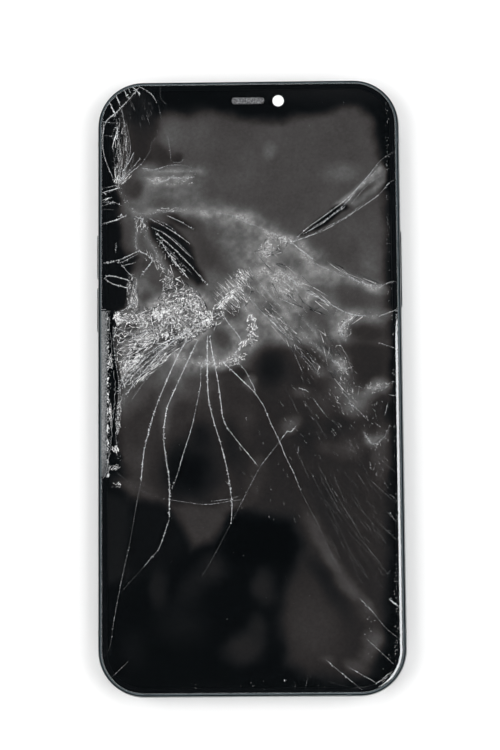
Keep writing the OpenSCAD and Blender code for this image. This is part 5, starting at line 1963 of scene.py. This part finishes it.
@dataclass
class EarpieceGrille:
    """Woven wire in the earpiece slot.

    Attributes:
        wire: Radius of a wire.
        pitch: Distance between wires.
        margin: How far a wire ends inside the slot.
    """

    wire: float = 0.055
    pitch: float = 0.24
    margin: float = 0.02

    def build(self) -> None:
        """Weaves wires both ways over a dark backing."""
        low, high = box_mm("earpiece_mesh")
        rng = random.Random(3)
        middle = (low.y + high.y) / 2
        half_w, half_l = (high.x - low.x) / 2, (high.y - low.y) / 2
        bm = slab(half_w, half_l, half_l - 0.01, low.z, high.z - 0.15, 8)
        bmesh.ops.translate(bm, vec=(0, middle, 0), verts=bm.verts)
        for k in range(round(2 * half_w / self.pitch)):
            x = -half_w + (k + 0.5) * self.pitch
            past = max(abs(x) - (half_w - half_l), 0)
            reach = math.sqrt(max(half_l**2 - past**2, 0.01)) - self.margin
            self.wire_piece(bm, Vector((x, middle, high.z - 0.11)), reach, 90, rng)
        for k in range(round(2 * half_l / self.pitch)):
            y = -half_l + (k + 0.5) * self.pitch
            reach = half_w - half_l + math.sqrt(max(half_l**2 - y**2, 0.0)) - self.margin
            self.wire_piece(bm, Vector((0, middle + y, high.z - 0.07)), reach, 0, rng)
        dress = [FINISHES["mesh_metal"].material()]
        piece_from(bm, "earpiece_grille", dress, 40, replaces=("earpiece_mesh",))

    def wire_piece(self, bm: BMesh, middle: Vector, reach: float, turn: float, rng: random.Random) -> None:
        """Adds one wire.

        Args:
            bm: BMesh that takes it.
            middle: Middle of the wire.
            reach: Half its length.
            turn: Its direction in degrees from +X.
            rng: Random draws for its small bend.
        """
        place = Matrix.Translation(middle) @ Matrix.Rotation(math.radians(turn + rng.uniform(-1, 1)), 4, "Z")
        lying = Matrix.Rotation(math.pi / 2, 4, "Y")
        bmesh.ops.create_cone(
            bm, cap_ends=True, segments=6, radius1=self.wire, radius2=self.wire, depth=2 * reach,
            matrix=place @ lying,
        )


@dataclass
class OuterPieces:
    """Band, back and everything on them that a hand can touch: the CAD shapes, some with eased edges."""

    eased: dict[str, tuple[str, float]] = field(
        default_factory=lambda: {
            "side_band": ("housing", 0.0),
            "antenna_breaks": ("housing", 0.0),
            "back_glass": ("housing", 0.0),
            "camera_ring_upper": ("housing", 0.06),
            "camera_ring_lower": ("housing", 0.06),
            "camera_window_upper": ("housing", 0.0),
            "camera_window_lower": ("housing", 0.0),
            "flash_lens": ("housing", 0.0),
            "bottom_screws": ("housing", 0.0),
            # The front light diffuser takes the near-white finish that paints the glint beside the earpiece.
            "front_light_diffuser": ("housing", 0.05),
            "side_button": ("side_key", 0.0),
            "volume_up_button": ("volume_up", 0.0),
            "volume_down_button": ("volume_down", 0.0),
            "mute_switch": ("mute_lever", 0.0),
            "sim_tray": ("card_tray", 0.0),
        }
    )
    flat_weight: int = 100
    small_smooth: float = 4.0

    def shell(self, node: str, ease: float) -> BMesh:
        """A welded copy of a CAD node in millimetres, its sharp edges eased when ease is above zero.

        Args:
            node: The CAD node.
            ease: Width of the eased edges.

        Returns:
            The copy.
        """
        bm = bmesh.new()
        bm.from_mesh(frame["nodes"][node].data)
        bmesh.ops.scale(bm, vec=(1 / MM,) * 3, verts=bm.verts)
        bmesh.ops.remove_doubles(bm, verts=bm.verts, dist=1e-4)
        if ease:
            bmesh.ops.dissolve_limit(
                bm, angle_limit=math.radians(0.5), verts=bm.verts, edges=bm.edges, delimit={"NORMAL"}
            )
            sharp = [e for e in bm.edges if e.is_manifold and e.calc_face_angle(0) > math.radians(50)]
            bevel(bm, sharp, ease, 2)
        return bm

    def build(self, slots: dict[str, str], materials: dict[str, Material]) -> None:
        """Builds each copy.

        Args:
            slots: Material slot of each CAD node.
            materials: Finished material of each slot.
        """
        for node, (body, ease) in self.eased.items():
            smooth = 32 if body == "housing" else self.small_smooth
            dress = [materials[slots[node]]]
            shell, name = self.shell(node, ease), node + "_shell"
            piece = piece_from(shell, name, dress, smooth, body, (node,))
            even = piece.modifiers.new("even_shading", "WEIGHTED_NORMAL")
            even.keep_sharp = True
            even.weight = self.flat_weight


@dataclass
class InnerPieces:
    """Every CAD node that keeps its own mesh and only gets a finish."""

    def build(self, slots: dict[str, str], materials: dict[str, Material]) -> None:
        """Dresses each node that still shows.

        Args:
            slots: Material slot of each CAD node.
            materials: Finished material of each slot.
        """
        own = {"display_frame": FrameFinish(GLASS_LOW.z + 0.1).material()}
        for name, node in frame["nodes"].items():
            if node.hide_render:
                continue
            node.data.materials.clear()
            node.data.materials.append(own.get(name, materials[slots[name]]))
            LOG.info("%s: dressed with %s", name, slots[name])


# ---------- studio ----------


# name, place in metres and share of the power
SOFT_LIGHTS: tuple[tuple[str, Place, float], ...] = (
    ("soft_left", (-0.78, 0.0, 0.8), 1.0),
    ("soft_right", (0.78, 0.0, 0.8), 1.0),
    ("soft_near", (0.0, -0.95, 0.75), 0.6),
    ("soft_far", (0.0, 0.95, 0.75), 0.6),
)


@dataclass
class Studio:
    """Pale floor, soft light from the sides and a camera almost straight above. Lengths are metres.

    Attributes:
        view_angle: Angle of the camera's view, in degrees.
        tip: How far the camera leans towards the phone's foot, in degrees.
        lean: How far it leans to the right.
        roll: How far it turns about its own line of sight.
        distance: Its distance from the aim.
        aim: What it looks at.
        sensor: Width of its sensor in millimetres.
        soft_power: Power of a soft light whose share is 1, in watts.
        soft_size: Size of a soft light.
        wall_radiance: Brightness of the wall that the right edge mirrors.
        wall_size: Its width and height.
        wall_place: Where it hangs.
        wall_target: What it faces.
        dark_from: Height in the sky from which it is black, from 0 to 1.
    """

    view_angle: float = 22.0
    tip: float = 5.6
    lean: float = 0.9
    roll: float = -0.446
    distance: float = 0.44605
    aim: Place = (0.0, 0.00207, 0.0078)
    sensor: float = 36.0
    soft_power: float = 10.0
    soft_size: float = 1.0
    wall_radiance: float = 4.8
    wall_size: Point = (1.1, 0.72)
    wall_place: Place = (0.69, -0.41, 0.73)
    wall_target: Place = (-0.09, -0.41, 0.11)
    dark_from: float = 0.3

    def build_camera(self) -> None:
        """Sets up the camera."""
        data = bpy.data.cameras.new("camera")
        data.sensor_width = self.sensor
        data.lens = self.sensor / 2 / math.tan(math.radians(self.view_angle / 2))
        data.clip_start, data.clip_end = 0.05, 20.0
        camera = placed("camera", data)
        turn = Matrix.Identity(4)
        for degrees, axis in ((self.lean, "Y"), (self.tip, "X"), (self.roll, "Z")):
            turn = turn @ Matrix.Rotation(math.radians(degrees), 4, axis)
        back = turn.to_3x3() @ Vector((0, 0, 1))
        camera.matrix_world = Matrix.Translation(Vector(self.aim) + back * self.distance) @ turn
        bpy.context.scene.camera = camera

    def build_floor(self) -> None:
        """Lays the pale floor."""
        bm = bmesh.new()
        bmesh.ops.create_grid(bm, x_segments=1, y_segments=1, size=4.0)
        shader = Shader("floor_white")
        tone = shader.blend(shader.noise(3.0), (0.93, 0.93, 0.93), (0.91, 0.91, 0.91))
        dull = {"Base Color": tone, "Roughness": 0.9, "Specular IOR Level": 0.0}
        floor = placed("floor", mesh_from(bm, "floor", [shader.done(shader.surface(dull))]))

    def area(
        self, name: str, place: Vector, target: Vector, size: Point, power: float, mirrored: bool = False
    ) -> None:
        """Hangs one flat light.

        Args:
            name: Its name.
            place: Where it hangs, in metres.
            target: What it faces.
            size: Its width and height in metres.
            power: Its power in watts.
            mirrored: True if it only shows as a reflection, False if it only lights dull faces.
        """
        data = bpy.data.lights.new(name, "AREA")
        data.shape, data.size, data.size_y, data.energy = "RECTANGLE", size[0], size[1], power
        light = placed(name, data)
        light.location = place
        light.rotation_mode = "QUATERNION"
        light.rotation_quaternion = (target - place).to_track_quat("-Z", "Y")
        light.visible_glossy, light.visible_diffuse = mirrored, not mirrored

    def build_lights(self) -> None:
        """Hangs the soft lights all round and the bright wall that the right edge mirrors."""
        middle = Vector((0, 0, 0))
        soft = (self.soft_size, self.soft_size)
        for name, place, share in SOFT_LIGHTS:
            self.area(name, Vector(place), middle, soft, self.soft_power * share)
        power = self.wall_radiance * math.pi * self.wall_size[0] * self.wall_size[1]
        place, target = Vector(self.wall_place), Vector(self.wall_target)
        self.area("wall_right", place, target, self.wall_size, power, mirrored=True)

    def build_sky(self) -> None:
        """Makes a sky that is white at the horizon and black above."""
        sky = Shader("studio", bpy.data.worlds.new("studio"))
        direction = sky.add("ShaderNodeTexCoord", {}, {})
        height = sky.add("ShaderNodeSeparateXYZ", {}, {0: direction}, 2)
        stops = ((0.0, (1.0, 1.0, 1.0)), (self.dark_from, (0.0, 0.0, 0.0)))
        tone = sky.add("ShaderNodeValToRGB", {"stops": stops}, {0: height})
        background = sky.add("ShaderNodeBackground", {}, {0: tone, 1: 1.0})
        scene = bpy.context.scene
        scene.world = sky.done(background, "ShaderNodeOutputWorld")
        scene.view_settings.view_transform = "Standard"
        scene.view_settings.look = "None"

    def build(self) -> None:
        """Builds camera, floor, lights and sky."""
        self.build_camera()
        self.build_floor()
        self.build_lights()
        self.build_sky()


def main() -> None:
    """Builds the phone's looks and the studio round it."""
    logging.basicConfig(level=logging.INFO, format="%(name)s %(message)s")
    slots = {part["node"]: part["material_slot"] for part in frame["record"]["subparts"]}
    materials = {slot: finish.material() for slot, finish in FINISHES.items()}
    low, high = box_mm("side_band")
    materials["band_metal"] = BandFinish(low.z, high.z).material()
    FrontGlass().build()
    ClearedLedge().build()
    Specks().build()
    Display().build()
    EarpieceGrille().build()
    OuterPieces().build(slots, materials)
    InnerPieces().build(slots, materials)
    Studio().build()


if __name__ == "__main__":
    main()
